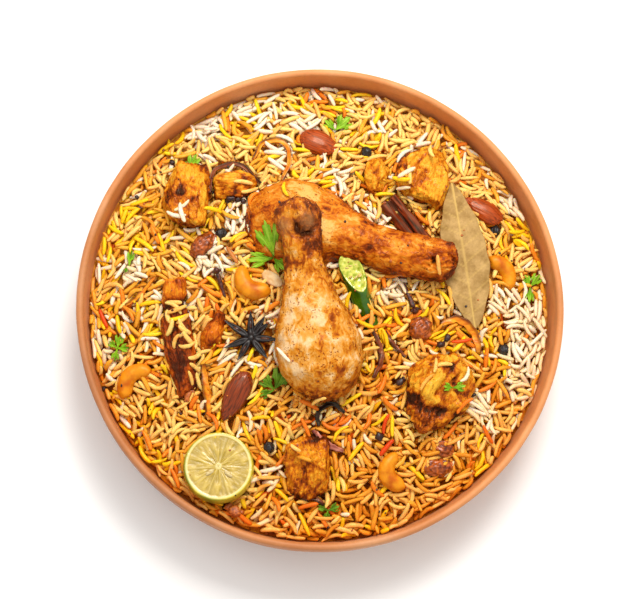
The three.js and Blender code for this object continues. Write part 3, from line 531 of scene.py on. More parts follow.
def lime_paint():
    """A cut lime: waxy peel, white pith, and pale wet flesh that runs out in rays."""
    paint = Paint("lime_paint", 0.3, Specular_IOR_Level=0.5, Coat_Weight=0.3, Coat_Roughness=0.12)
    rays = paint.mask("rays")
    flesh = paint.ramp(rays, (0.2, (154, 126, 14)), (0.55, (178, 146, 32)), (0.85, (202, 172, 66)))
    skins = paint.mix(paint.mask("skin"), flesh, (226, 204, 130))
    rind = paint.blotches(16, 3, (0.36, (126, 134, 20)), (0.6, (204, 184, 44)))
    peeled = paint.mix(paint.mask("peel"), skins, rind)
    return paint.finish(peeled, (paint.noise(0.9, 2), 0.1), (rays, 0.2))


def chilli_paint():
    """A green chilli: glossy dark skin outside, paler where it is cut."""
    paint = Paint("chilli_paint", 0.2, Specular_IOR_Level=0.4, Coat_Weight=0.25, Coat_Roughness=0.08)
    outside = paint.blotches(7, 3, (0.35, (30, 68, 2)), (0.66, (66, 112, 8)))
    inside = paint.blotches(2.4, 3, (0.36, (146, 166, 24)), (0.62, (222, 220, 100)))
    return paint.finish(paint.mix(paint.mask("cut"), outside, inside), (paint.noise(2.2, 2), 0.12))


# ---------------------------------------------------------------- dish

DISH_SIDES = 200
# How far the wall is drawn in, so that its uneven surface stays inside the dish's own size.
DISH_INSET = 0.15
# The direction in plan of the side of the dish that is painted darker, as shade away from the light.
SHADED_BEARING = math.radians(222)


def arc(centre, radii, start, end, count):
    angles = np.linspace(math.radians(start), math.radians(end), count)
    return [
        (centre[0] + radii[0] * math.cos(angle), centre[1] + radii[1] * math.sin(angle))
        for angle in angles
    ]


def dish_profile():
    """Radius and height of the dish's surface, from under its middle out, over the lip and in."""
    outer = arc((BASE_RADIUS, OUTER_CURVE_TOP), (DISH_RADIUS - BASE_RADIUS, OUTER_CURVE_TOP), -90, 0, 22)
    lip_centre = (DISH_RADIUS - LIP_RADIUS, DISH_HEIGHT - LIP_RADIUS)
    lip = arc(lip_centre, (LIP_RADIUS, LIP_RADIUS), 0, 180, 9)
    reach = (INNER_RADIUS - FLOOR_RADIUS, INNER_CURVE_TOP - FLOOR_HEIGHT)
    inner = arc((FLOOR_RADIUS, INNER_CURVE_TOP), reach, 0, -90, 16)
    flat = [(BASE_RADIUS * share, 0) for share in (0, 0.3, 0.7)]
    floor = [(FLOOR_RADIUS * share, FLOOR_HEIGHT) for share in (0.6, 0.3, 0)]
    return np.array(flat + outer + lip + inner + floor)


def make_dish():
    profile = dish_profile()

    def place(radius, height, angle):
        ring = np.stack([np.cos(angle), np.sin(angle), height / 60], -1)
        wall = smooth_step(height, 6, 40)
        uneven = 0.22 * wall * noise(ring * 3, 1, 5) + 0.08 * wall * noise(ring * 17, 1, 6)
        lifted = height + 0.18 * smooth_step(height, 30, 46) * (noise(ring * 4, 1, 8) - 0.6)
        reach = radius + uneven - DISH_INSET
        return reach * np.cos(angle), reach * np.sin(angle), lifted

    form = lathed(profile, DISH_SIDES, place)
    x, y, height = form[0].T
    # Painted shade on the outer wall and along the lip's top, on the side that faces away from the light.
    facing = (x * math.cos(SHADED_BEARING) + y * math.sin(SHADED_BEARING)) / DISH_RADIUS
    outside = np.arange(len(x)) < 1 + np.argmax(profile[:, 1]) * DISH_SIDES
    wall = smooth_step(DISH_HEIGHT - height, 0, 7) * smooth_step(height, 0, 26)
    cloud = 0.85 + 0.3 * noise(form[0], (40, 40, 16), 12)
    inside = 0.38 * smooth_step(height, DISH_HEIGHT - 3, DISH_HEIGHT - 1)
    smoked = smooth_step(facing, -0.3, 1) * np.where(outside, 0.44 + 0.24 * wall, inside) * cloud
    add_piece("clay_dish", form, clay_paint(), "clay", ["dish"], smoked=smoked)


# ---------------------------------------------------------------- drumsticks

# Share of a drumstick's length from its knuckle, and its radius there.
DRUMSTICK_RADII = np.array([
    (0, 0), (0.012, 5.5), (0.045, 9.4), (0.1, 10.4), (0.17, 9.4), (0.27, 9.3), (0.38, 11), (0.49, 15),
    (0.6, 19.6), (0.72, 22.6), (0.83, 21.6), (0.92, 16.2), (0.975, 9.5), (1, 0),
])
CUFF_SHARE = 0.15
DRUMSTICK_RINGS = 230
DRUMSTICK_SIDES = 140
HEAD_HEIGHT = 2.4
PIT_DEPTH = 3
MOST_SPICE_AND_SHADE = 0.85
# The colours of each drumstick's skin, from clean to burnt, the darker ones also standing for painted
# shade, its form, and how it is dressed. Its heads and pits are bumps of bone and hollows at its
# knuckle, the hollows painted dark as shade: where they are from the knuckle's end, and their radius.
DRUMSTICKS = {
    "front": dict(
        skin="pale_skin",
        colours=[
            (234, 194, 142), (224, 160, 76), (210, 130, 26), (182, 92, 6), (136, 54, 2), (84, 26, 2),
        ],
        knuckle=Vector((-14.6, 52.5, 74.5)),
        end=Vector((3.4, -51.5, 55)),
        form=dict(fullness=1.02, flatness=0.84, bend=-1.5, waist=0, seed=17),
        dress=dict(
            spice=0.23,
            browner=0.5,
            puckers=0.6,
            heads=[(12.4, 3.8, 10.6, 4.4), (13.6, -8.6, 6.8, 4)],
            pits=[
                (11.4, -2.6, 10.6, 1.8), (14, -3, 10.4, 2.3), (16.6, -2.6, 10, 2.7), (18.4, 0, 9.9, 2.7),
                (18.8, 2.8, 9.6, 2.4), (18.2, 5.6, 8.9, 2.1),
            ],
        ),
    ),
    "back": dict(
        skin="spiced_skin",
        colours=[
            (234, 176, 92), (220, 136, 36), (206, 110, 14), (174, 76, 4), (130, 44, 2), (80, 22, 2),
        ],
        knuckle=Vector((71, 21.4, 58.3)),
        end=Vector((-41.5, 53.5, 42.5)),
        form=dict(fullness=1.06, flatness=0.74, bend=3, waist=0.24, seed=42),
        dress=dict(
            spice=0.34,
            browner=0.12,
            puckers=1.7,
            heads=[],
            pits=[(10.7, 4, 8.6, 1.3), (12, 2.6, 9, 1), (12.6, 6, 7.6, 1)],
        ),
    ),
}


def drumstick_radius(share):
    """The radius at a share of the length, with the table's corners rounded off."""
    fine = np.linspace(-0.1, 1.1, 721)
    folded = np.where(fine < 0, -fine, np.where(fine > 1, 2 - fine, fine))
    sign = np.where((fine < 0) | (fine > 1), -1, 1)
    table = sign * np.interp(folded, DRUMSTICK_RADII[:, 0], DRUMSTICK_RADII[:, 1])
    window = np.hanning(27)
    rounded = np.convolve(table, window / window.sum(), "same")
    return np.maximum(0, np.interp(share, fine, rounded))


def drumstick_form(length, fullness, flatness, bend, waist, seed):
    """A drumstick with a knob of a knuckle and a ragged cuff of skin above it."""

    def place(share, angle):
        meat = smooth_step(share, 0.3, 0.6)
        knob = 1 - smooth_step(share, 0.08, 0.2)
        around = np.stack([np.cos(angle), np.sin(angle), 0 * angle], -1)
        cuff = CUFF_SHARE + 0.03 * noise(around, 0.6, seed)
        sleeve = smooth_step(share, cuff - 0.008, cuff + 0.012) * (1 - smooth_step(share, 0.2, 0.34))
        radius = (drumstick_radius(share) + 0.9 * sleeve) * (1 + (fullness - 1) * meat)
        radius = radius * (1 + 0.1 * knob * np.cos(2 * angle))
        slim = 1 - waist * bell(share - 0.5, 0.13) * smooth_step(np.cos(angle), 0, 0.8)
        y = radius * slim * np.cos(angle)
        z = radius * np.sin(angle) * (1 - (1 - flatness) * meat)
        return (share - 0.5) * length, y + bend * np.sin(math.pi * share), z

    rings = 0.5 * ball_shares(DRUMSTICK_RINGS) + 0.5 * np.linspace(0, 1, DRUMSTICK_RINGS)
    return closed_form(rings, DRUMSTICK_SIDES, place)


def spots_at(points, length, spots):
    """How near each point is to any of the spots at a knuckle, from 0 to 1."""
    near = np.zeros(len(points))
    pushed = warped(points, 3, 0.6, 8)
    for x, y, z, radius in spots:
        away = np.linalg.norm(pushed - (x - length / 2, y, z), axis=1)
        near = np.maximum(near, bell(away, radius))
    return near


def dress_drumstick(form, length, place, seed, spice, browner, puckers, heads, pits):
    """Adds the skin's relief, and where it is spiced, with painted shade in that mask, bare bone, or a
    hollow painted dark as shade.
    """
    points = form[0]
    share = points[:, 0] / length + 0.5
    rise = normals(moved(form, place))[:, 2]
    shank = bell(share - 0.22, 0.19)
    knob = bell(share, 0.12)
    spots = rough(warped(points, 7, 3, seed), (9, 7, 7), 5, seed + 9)
    # Painted shade: the spice mask grows on the sides that face down and towards the far end.
    shaded_flank = smooth_step(0.85 - rise, 0, 0.9)
    tip = smooth_step(share, 0.7, 0.98)
    coat = spice + 0.65 * spots + 0.34 * shaded_flank + browner * shank + 0.2 * knob + 0.2 * tip
    coat = np.clip(coat, 0, MOST_SPICE_AND_SHADE)
    bone = spots_at(points, length, heads)
    hollow = spots_at(points, length, pits)
    swell = 1.1 * noise(points, 24, seed) + 0.9 * noise(points, 10, seed + 1)
    folds = 0.7 * ridged(warped(points, 7, 2.5, seed + 4), (16, 4.5, 4.5), seed + 3) * (0.35 + shank)
    bearing = np.arctan2(points[:, 2], points[:, 1])
    spokes = np.stack([4 * np.cos(bearing), 4 * np.sin(bearing), 9 * share], -1)
    folds = folds + puckers * (ridged(spokes, 1, seed + 10) - 0.5) * bell(share, 0.09)
    threads = 0.5 * ridged(warped(points, 5, 2, seed + 7), (5, 2.2, 2.2), seed + 6) * (0.4 + shank + knob)
    crumbs = 0.8 * coat * rough(points, 2.2, 2, seed + 5) + 0.4 * rough(points, 5, 2, seed + 2)
    smooth = 1 - np.clip(bone + hollow, 0, 1)
    amount = swell + smooth * (folds + threads + crumbs) + HEAD_HEIGHT * bone - PIT_DEPTH * hollow
    # The spice mask holds painted shade as well as spice; the hollow mask is painted shade.
    masks = dict(spice=coat, bone=0.85 * bone, hollow=smooth_step(hollow, 0.15, 0.7))
    return raised(form, amount), masks


def make_drumsticks():
    for side, spec in DRUMSTICKS.items():
        length = (spec["end"] - spec["knuckle"]).length
        place = spanning(spec["knuckle"], spec["end"])
        form = drumstick_form(length, **spec["form"])
        form, masks = dress_drumstick(form, length, place, spec["form"]["seed"], **spec["dress"])
        paint = skin_paint(spec["skin"], spec["colours"])
        add_piece(f"leg_{side}", form, paint, "drumstick", [f"drumstick_{side}"], place, **masks)


# ---------------------------------------------------------------- boneless chicken

# Each piece: how it lies, and its form: half its length, width and height, how burnt and how torn it
# is, and where it is split.
CHUNKS = [
    ((-72.6, 58.2, 3.6, 96, -7, -6), dict(half=(18.8, 12.8, 9.5), seed=21, burnt=0.12, torn=1.3)),
    ((-46, 65.6, 1.8, 4, 0, 4), dict(half=(11.8, 7.8, 7.5), seed=34, burnt=0.15)),
    ((54, 73, 2.6, 76, 3, 0), dict(half=(15.8, 13.4, 10.5), seed=59, burnt=0.1, torn=1.8)),
    (
        (-75.4, -19.5, 0.6, -82, 0, 8),
        dict(half=(31, 8.4, 8), seed=73, burnt=0.5, split=-19, groove=2.2, beyond=-0.4),
    ),
    ((-57, -15.2, 0.8, 70, 4, 0), dict(half=(12, 5.2, 6.5), seed=91, burnt=0.3)),
    (
        (62, -46, 3.2, 62, 8, 6),
        dict(half=(23.5, 18, 11.5), seed=66, burnt=-0.02, torn=2.4, split=-6, groove=0.4, beyond=0.42),
    ),
    ((-6.9, -86.3, 2, 84, 4, 0), dict(half=(17, 12, 8), seed=82, burnt=0.28, torn=1.6)),
    ((29.8, 71.4, 1.4, 82, 0, 0), dict(half=(10.5, 6.2, 6.5), seed=12, burnt=0.1)),
]
SMALL_CHUNK = 13
FACET_SHARPNESS = 12
SAUCED_CHUNKS = (4, 5)
GOLDEN_MEAT = [(240, 174, 48), (226, 140, 22), (198, 102, 8), (150, 60, 4), (96, 30, 2), (50, 12, 2)]
SAUCED_MEAT = [(238, 148, 30), (218, 114, 14), (192, 86, 10), (158, 60, 8), (116, 38, 8), (68, 18, 6)]


def facets(directions, random):
    """How far a block with half sizes of 1, tilted sides and cut corners reaches in each direction,
    and how near each direction is to one of its edges."""
    square = np.concatenate([np.eye(3), -np.eye(3)])
    sides = square + random.normal(0, 0.2, (6, 3))
    corners = random.choice((-1, 1), (9, 3)) * random.uniform(0.15, 1, (9, 3))
    faces = np.concatenate([square, sides, corners])
    faces /= np.linalg.norm(faces, axis=1)[:, None]
    offsets = [np.full(6, 1.05), random.uniform(0.9, 1.02, 6), random.uniform(0.86, 1.02, 9)]
    facing = directions @ faces.T
    reach = np.where(facing > 0.1, np.concatenate(offsets) / np.maximum(facing, 0.1), 10)
    nearest = np.sort(reach, axis=1)
    blunt = -np.log(np.exp(-FACET_SHARPNESS * reach).sum(axis=1)) / FACET_SHARPNESS
    return blunt, bell(nearest[:, 1] - nearest[:, 0], 0.07)


def chunk_form(half, seed, burnt, torn=1.0, split=None, groove=0.0, beyond=0.0):
    """A block of meat with torn faces and crooked fibres, and how browned it is, with painted shade
    underneath, in its pits and between its crags. It may have a groove where it is split, painted dark
    as shade, and be darker or paler beyond it."""
    points, faces = icosphere(5 if half[0] < SMALL_CHUNK else 6)
    reach, edge = facets(points, np.random.default_rng(seed))
    block = points * reach[:, None] * np.array(half)
    bent = warped(block, 8, 2.2, seed)
    crags = rough(bent, 7, 3, seed + 3)
    strands = ridged(bent, (14, 2.8, 2.8), seed + 4) - 0.4
    threads = ridged(bent, (7, 1.3, 1.3), seed + 5) - 0.4
    pits = smooth_step(noise(bent, (6, 3.4, 3.4), seed + 6), 0.35, 0.75)
    granules = rough(warped(block, 3, 1.2, seed), 2.6, 2, seed + 11)
    amount = torn * (1.5 * crags + 0.7 * strands) + 0.45 * threads + 0.6 * granules - 0.7 * pits
    # Painted shade: darker underneath, in the pits and where the crags sink in.
    under = smooth_step(-block[:, 2] / half[2], -0.5, 0.5)
    patches = smooth_step(rough(warped(block, 7, 3, seed), 8, 4, seed + 7), 0.0, 0.5)
    browned = burnt + 0.26 * edge + 0.14 * pits + 0.24 * torn * smooth_step(-crags, -0.1, 0.6)
    browned = browned + 0.45 * under + 0.34 * patches
    if split is not None:
        cleft = bent[:, 0] - split + 4 * noise(block, 11, seed + 8)
        past = smooth_step(-cleft, -3, 4)
        folds = ridged(warped(block, 6, 3, seed + 9), (9, 4, 4), seed + 10) - 0.5
        amount = amount - groove * bell(cleft, 2) + max(0, beyond) * past * (4 * folds - 4)
        # The groove is painted darker, as shade in the cleft.
        browned = browned + 0.25 * groove * bell(cleft, 2.4) + beyond * past
    return raised((block, faces), amount), np.clip(browned, 0, 1)


def make_chunks():
    golden = meat_paint("spiced_meat", GOLDEN_MEAT)
    sauced = meat_paint("sauced_meat", SAUCED_MEAT)
    for number, (spot, shape) in enumerate(CHUNKS, 1):
        form, browned = chunk_form(**shape)
        paint = sauced if number in SAUCED_CHUNKS else golden
        nodes = [f"chicken_{number}"]
        add_piece(f"meat_{number}", form, paint, "chicken", nodes, laid(*spot), browned=browned)


# ---------------------------------------------------------------- nuts and dried fruit

# Each one: how it lies on the heap, and its form's settings.
ALMONDS = [
    ((-0.7, 89.7, 2.2, -22, -3, 6), ((11, 6.9, 4.6), 3)),
    ((-45.2, -48.9, 2.6, -117, -4, -8), ((14.2, 6.7, 4.6), 6)),
    ((88.4, 54.6, 1.4, 150, -3, 0), ((11.8, 6.3, 4.4), 9)),
]
DARK_ALMONDS = (2,)
CASHEWS = [
    ((-33.8, 15.4, 2.6, 230), (8.6, 165, 4.9, 5)),
    ((-94.7, -43.8, 2.6, 135), (9.4, 150, 4.4, 10)),
    ((93.2, 16.7, 1.6, 35), (9, 140, 4.4, 15)),
    ((42, -86.8, 2.4, 195), (7.4, 190, 4.7, 20)),
]
RAISINS = [
    ((-63.3, 32.4, 2, 45), ((8.2, 5, 4.2), 15)),
    ((53, -11.9, 2, 40), ((6.9, 6.1, 4.4), 29)),
    ((62.7, -85.2, 1.4, 10), ((8, 4.9, 3.8), 48)),
    ((65.6, -75.2, 1, -20), ((5.6, 4.2, 3.6), 61)),
]


def almond_form(half, seed):
    def place(share, angle):
        x = 2 * share - 1
        ring = ring_size(x)
        narrow = 1 - 0.42 * share**2.4
        y = 1.05 * half[1] * narrow * ring * np.cos(angle)
        return 1.02 * half[0] * x, y, half[2] * narrow * ring * np.sin(angle)

    form = closed_form(ball_shares(64), 64, place)
    wrinkles = ridged(form[0], (16, 1.5, 1.5), seed) + 0.5 * ridged(form[0], (9, 0.8, 0.8), seed + 1)
    return raised(form, 0.32 * wrinkles - 0.25)


def cashew_form(bend, sweep, thick, seed):
    """A cashew that curls round the origin, with its back towards +X and a seam along it. Its faces
    look inward."""

    def place(share, angle):
        x = 2 * share - 1
        turn = x * math.radians(sweep) / 2
        fat = thick * (1 + 0.12 * x) * np.where(np.abs(x) < 1, ring_size(x) ** 0.45, 0)
        seam = 1 - 0.1 * bell(np.sin(angle), 0.12) * (np.cos(angle) > 0)
        radius = bend + fat * seam * np.cos(angle)
        return radius * np.cos(turn), radius * np.sin(turn), fat * np.sin(angle)

    form = closed_form(ball_shares(56), 36, place)
    return raised(form, 0.3 * noise(form[0], 4, seed) + 0.1 * noise(form[0], 1.6, seed + 1))


def raisin_form(half, seed):
    form = ball(half, 56, 64)
    folds = ridged(form[0], (6, 2.2, 2.2), seed) + 0.7 * ridged(form[0], (3, 1.3, 1.3), seed + 1)
    return raised(form, 0.9 * folds - 0.75 + 0.5 * noise(form[0], 5, seed + 2))


def make_nuts():
    warm = nut_paint("almond_skin", (188, 74, 18), (112, 36, 4), (9, 0.7, 0.7), 0.4, 0.2)
    dark = nut_paint("dark_almond_skin", (150, 54, 10), (70, 18, 2), (9, 0.7, 0.7), 0.34, 0.4)
    toasted = nut_paint("fried_cashew", (234, 146, 20), (202, 96, 4), (5, 5, 5))
    wrinkled = dried_paint("raisin_skin", (200, 98, 28), (84, 26, 4), 2.2, 0.3, 0.3)
    kinds = [
        ("whole_almond", "almond", ALMONDS, almond_form, warm),
        ("curled_cashew", "cashew", CASHEWS, cashew_form, toasted),
        ("wrinkled_raisin", "raisin", RAISINS, raisin_form, wrinkled),
    ]
    for name, node, rows, make_form, usual in kinds:
        for number, (spot, shape) in enumerate(rows, 1):
            paint = dark if node == "almond" and number in DARK_ALMONDS else usual
            form = make_form(*shape)
            add_piece(f"{name}_{number}", form, paint, node, [f"{node}_{number}"], laid(*spot))


# ---------------------------------------------------------------- chilli

CHILLI_LOW = Vector((29.2, -13.5, 42.5))
CHILLI_HIGH = Vector((16.6, 17.5, 55.6))
CHILLI_CUT_LENGTH = 22
CHILLI_RADIUS = (4.4, 5.9)
CHILLI_SIDES = 48
# How far the cut's lower lip, which lies over the back drumstick, bends up.
CHILLI_LIP = 3.6
# The cut chilli's skin, from its lower end up, over the cut edge and in to its pith: share of the
# length, and radius as a share of the outer one.
CHILLI_SKIN = np.array([
    (0, 0), (0, 0.9), (0.02, 1), (0.5, 1), (0.985, 1), (1, 0.95), (1, 0.82), (0.975, 0.76), (0.93, 0.45),
    (0.92, 0),
])
# Each seed on the cut: its direction, and its distance as a share of the cut's radius.
CHILLI_SEEDS = [(20, 0.55), (80, 0.3), (150, 0.5), (215, 0.62), (280, 0.35), (330, 0.6)]
CHILLI_SEED_REACH = 5.2


def chilli_form(length):
    """The cut chilli along +X, and how much each point belongs to its inside."""
    steps = np.linspace(0, 1, len(CHILLI_SKIN))
    fine = np.unique(np.concatenate([np.linspace(0, 1, 60), steps]))

    def place(share, angle):
        along = np.interp(share, steps, CHILLI_SKIN[:, 0])
        reach = np.interp(share, steps, CHILLI_SKIN[:, 1])
        radius = reach * (CHILLI_RADIUS[0] + (CHILLI_RADIUS[1] - CHILLI_RADIUS[0]) * along)
        radius = radius * (1 + 0.05 * np.cos(3 * angle + 1))
        y = radius * np.cos(angle)
        z = radius * np.sin(angle)
        slant = -z / (2 * CHILLI_RADIUS[1]) * CHILLI_CUT_LENGTH * smooth_step(along, 0.45, 1)
        low_lip = CHILLI_LIP * smooth_step(along, 0.6, 1) * np.maximum(0, -z / CHILLI_RADIUS[1])
        bend = 1.2 * np.sin(math.pi * along)
        return (along - 0.5) * length + slant, y + bend + 0.5 * low_lip, z + low_lip

    form = closed_form(fine, CHILLI_SIDES, place)
    inside = np.concatenate([[0], np.repeat(fine[1:-1], CHILLI_SIDES), [1]])
    cut = smooth_step(inside, 0.5, 0.56)
    return raised(form, cut * 0.5 * noise(form[0], 2, 4)), cut


def make_chilli():
    length = (CHILLI_HIGH - CHILLI_LOW).length
    seat = spanning(CHILLI_LOW, CHILLI_HIGH)
    form, cut = chilli_form(length)
    add_piece("cut_chilli", form, chilli_paint(), "chilli", ["chilli"], seat, cut=cut)
    seeds = []
    for turn, reach in CHILLI_SEEDS:
        y, z = (reach * CHILLI_SEED_REACH * f(math.radians(turn)) for f in (math.cos, math.sin))
        x = 0.5 * length - 0.75 - z / (2 * CHILLI_RADIUS[1]) * CHILLI_CUT_LENGTH
        tilt = turned("X", turn) @ turned("Y", -57)
        seeds.append(moved(ball((1.5, 1.2, 0.5), 10, 12), Matrix.Translation((x, y, z)) @ tilt))
    paint = dried_paint("chilli_seed", (240, 220, 150), (206, 170, 84), 1.2, 0.4, 0.1)
    add_piece("chilli_seeds", merged(seeds), paint, "chilli", (), seat)


# ---------------------------------------------------------------- cinnamon

CINNAMON_ENDS = (on_heap(36, 57.4, 3.4), on_heap(55.5, 32, 3))
CINNAMON_ROLL = 2.35
CINNAMON_OFFSET = 2.9
CINNAMON_BARK = 1.1
CINNAMON_STEPS = 48
CINNAMON_ROLL_POINTS = 26


def bark_line(count):
    """The middle line of a bark that curls in from both edges into two rolls side by side."""
    share = np.linspace(0, 1, count)
    angle = np.radians(10 + 265 * share)
    radius = CINNAMON_ROLL * (0.72 + 0.28 * share)
    left = np.stack([radius * np.cos(angle) - CINNAMON_OFFSET, radius * np.sin(angle)], -1)
    return np.concatenate([left, left[::-1] * (-1, 1)])


def make_cinnamon():
    """A bark with both edges rolled in. Its faces look inward."""
    high, low = CINNAMON_ENDS
    line = bark_line(CINNAMON_ROLL_POINTS)
    across = np.gradient(line, axis=0)
    across = np.stack([-across[:, 1], across[:, 0]], -1) / np.linalg.norm(across, axis=1)[:, None]
    half_bark = across * CINNAMON_BARK / 2
    outline = np.concatenate([line + half_bark, (line - half_bark)[::-1]])
    count = len(outline)
    along = np.repeat(np.linspace(-0.5, 0.5, CINNAMON_STEPS), count) * (high - low).length
    ring = np.tile(outline, (CINNAMON_STEPS, 1))
    points = np.stack([along, ring[:, 0], ring[:, 1]], -1)
    here = np.arange(count)
    after = (here + 1) % count
    start = np.arange(CINNAMON_STEPS - 1)[:, None] * count
    sides = np.stack([start + here, start + after, start + count + after, start + count + here], -1)
    half = np.arange(count // 2 - 1)
    cap = np.stack([half, count - 1 - half, count - 2 - half, half + 1], -1)
    faces = [sides.reshape(-1, 4), cap, cap[:, ::-1] + (CINNAMON_STEPS - 1) * count]
    bumps = 0.8 * ridged(points, (14, 1.6, 1.6), 3) + 0.8 * noise(points, (6, 3, 3), 4) - 0.4
    bark = nut_paint("cinnamon_bark", (134, 46, 10), (44, 8, 2), (10, 1.1, 1.1), 0.5)
    form = raised((points, faces), bumps)
    add_piece("cinnamon_stick", form, bark, "cinnamon", ["cinnamon"], spanning(low, high))


# ---------------------------------------------------------------- lime

LIME_PLACE = (-53.8, -86.1)
LIME_FACE_HEIGHT = 46.4
LIME_RADIUS = 18.9
# How the cut face tilts about x and y.
LIME_TILT = (math.radians(-4), math.radians(-2))
# The cut's height above the lime's middle.
LIME_CUT = 6.2
LIME_PEEL = 1.6
LIME_SEGMENTS = 10
LIME_SEEDS = [(-4.4, -3.2), (5.4, -4.2)]
LIME_SIDES = 150


def lime_masks(points, face_radius):
    """Where the lime is peel, pith and rays of flesh, and how far its surface is raised."""
    radius = np.hypot(points[:, 0], points[:, 1])
    angle = np.arctan2(points[:, 1], points[:, 0])
    on_face = points[:, 2] > LIME_CUT - 0.05
    wobble = 0.12 * np.sin(3 * angle + 1) + 0.05 * np.sin(7 * angle)
    segment = (angle / FULL_TURN * LIME_SEGMENTS + wobble) % 1
    beside = np.minimum(segment, 1 - segment) * FULL_TURN / LIME_SEGMENTS * radius
    pith = smooth_step(radius, face_radius - LIME_PEEL - 0.5, face_radius - LIME_PEEL + 0.2)
    core = 1 - smooth_step(radius, 1.2, 2.4)
    walls = 0.36 * bell(beside, 0.35)
    skin = np.clip(np.maximum(np.maximum(walls, pith), core), 0, 1)
    edge = smooth_step(radius, face_radius - 0.9, face_radius - 0.5)
    spun = np.stack([14 * np.cos(angle), 14 * np.sin(angle), radius * 0.3], -1)
    rays = 0.5 + 0.32 * noise(spun, 1, 3) + 0.3 * noise(spun, (2.2, 2.2, 0.8), 4)
    fall = (1 - skin) * (0.3 * rays - 0.4) * (1 - edge)
    amount = np.where(on_face, fall, 0.08 * noise(points, 1.1, 4) - 0.1)
    return dict(skin=skin, peel=np.where(on_face, edge, 1), rays=np.clip(rays, 0, 1)), amount


def make_lime():
    start = math.asin(LIME_CUT / LIME_RADIUS)
    face_radius = LIME_RADIUS * math.cos(start)
    outside = arc((0, 0), (LIME_RADIUS, LIME_RADIUS), -90, math.degrees(start), 30)
    flat = [(radius, LIME_CUT) for radius in np.linspace(face_radius - 0.4, 0, 46)]

    def place(radius, height, angle):
        return radius * np.cos(angle), radius * np.sin(angle), height

    form = lathed(outside + flat, LIME_SIDES, place)
    masks, amount = lime_masks(form[0], face_radius)
    seat = Matrix.Translation((*LIME_PLACE, LIME_FACE_HEIGHT - LIME_CUT))
    seat = seat @ Euler((*LIME_TILT, 0)).to_matrix().to_4x4()
    add_piece("half_lime", raised(form, amount), lime_paint(), "lime", ["lime"], seat, **masks)
    pips = []
    for x, y in LIME_SEEDS:
        spot = Matrix.Translation((x, y, LIME_CUT)) @ Matrix.Rotation(math.atan2(y, x), 4, "Z")
        pips.append(moved(ball((2.6, 1.2, 0.9), 14, 16), spot))
    paint = nut_paint("lime_pip", (232, 214, 160), (190, 160, 96), (3, 1, 1), 0.3)
    add_piece("lime_pips", merged(pips), paint, "lime", (), seat)


# ---------------------------------------------------------------- whole spices

STAR_PLACE = (-37.3, -18.2, 2.6)
STAR_WIDTH = 1.95
STAR_HEIGHT = 1.7
# Direction and length of each arm.
STAR_ARMS = [
    (147, 17.4), (91, 14.6), (57, 13.9), (40, 12.8), (-4, 15), (-52, 14.7), (240, 14.4), (201, 15.5),
]
OPEN_ARMS = (0, 1, 4, 6)

PEPPERCORN_RADIUS = 2.9
PEPPERCORNS = [
    (-53.4, 38.7, 1.7), (24.8, 85.2, 1.7), (-27.4, -75.4, 1.7), (98.2, -21.6, 1.7), (94.8, 43.4, 0),
]

# Each clove: its head and the tail of its stem.
CLOVES = [
    (on_heap(-55.5, 17, 3.6), on_heap(-51, 3.8, 0.4)),
    (on_heap(49.6, -1.5, 2), on_heap(43.5, 12.8, 1.4)),
]


def seed_case(length, seed):
    """One boat-shaped seed case along +X, split along its top, and up at its sharp beak."""

    def place(share, angle):
        belly = np.maximum(0, np.sin(math.pi * np.clip(share, 0, 1) ** 0.7))
        y = 1.05 * STAR_WIDTH * belly * np.cos(angle)
        middle = smooth_step(share, 0.15, 0.35) * smooth_step(1 - share, 0.02, 0.2)
        split = 1.2 * bell(y, 0.5) * (np.sin(angle) > 0) * middle
        return share * length, y, STAR_HEIGHT * belly * np.sin(angle) + 1.6 * share**2 - split * belly

    form = closed_form(ball_shares(34), 28, place)
    return raised(form, 0.14 * ridged(form[0], (5, 1, 1), seed) - 0.06)


def make_star_anise():
    arms, seeds = [], []
    for number, (direction, length) in enumerate(STAR_ARMS):
        turn = turned("Z", direction)
        arms.append(moved(seed_case(length, number), turn))
        if number in OPEN_ARMS:
            seat = turn @ Matrix.Translation((0.5 * length, 0, 1.1))
            seeds.append(moved(ball((2.3, 0.8, 0.9), 12, 12), seat))
    arms.append(moved(ball((2.2, 2.1, 1.7), 14, 20), Matrix.Translation((0, 0, 0.2))))
    husk = dried_paint("star_husk", (34, 20, 16), (6, 4, 4), 1.6, 0.4, 0.2)
    shine = dried_paint("star_seed", (104, 58, 34), (44, 22, 14), 3, 0.15, 0.05)
    add_piece("star_pods", merged(arms), husk, "star_anise", ["star_anise"], laid(*STAR_PLACE))
    add_piece("star_seeds", merged(seeds), shine, "star_anise", (), laid(*STAR_PLACE))


def make_peppercorns():
    paint = dried_paint("pepper_skin", (52, 44, 42), (8, 6, 6), 1.1, 0.42, 0.3)
    for number, spot in enumerate(PEPPERCORNS, 1):
        form = ball((PEPPERCORN_RADIUS,) * 3, 44, 52)
        wrinkles = ridged(form[0], 1.8, number) + 0.5 * ridged(form[0], 1, number + 9)
        form = raised(form, 0.55 * wrinkles - 0.5)
        nodes = [f"peppercorn_{number}"]
        add_piece(f"whole_pepper_{number}", form, paint, "peppercorn", nodes, laid(*spot))


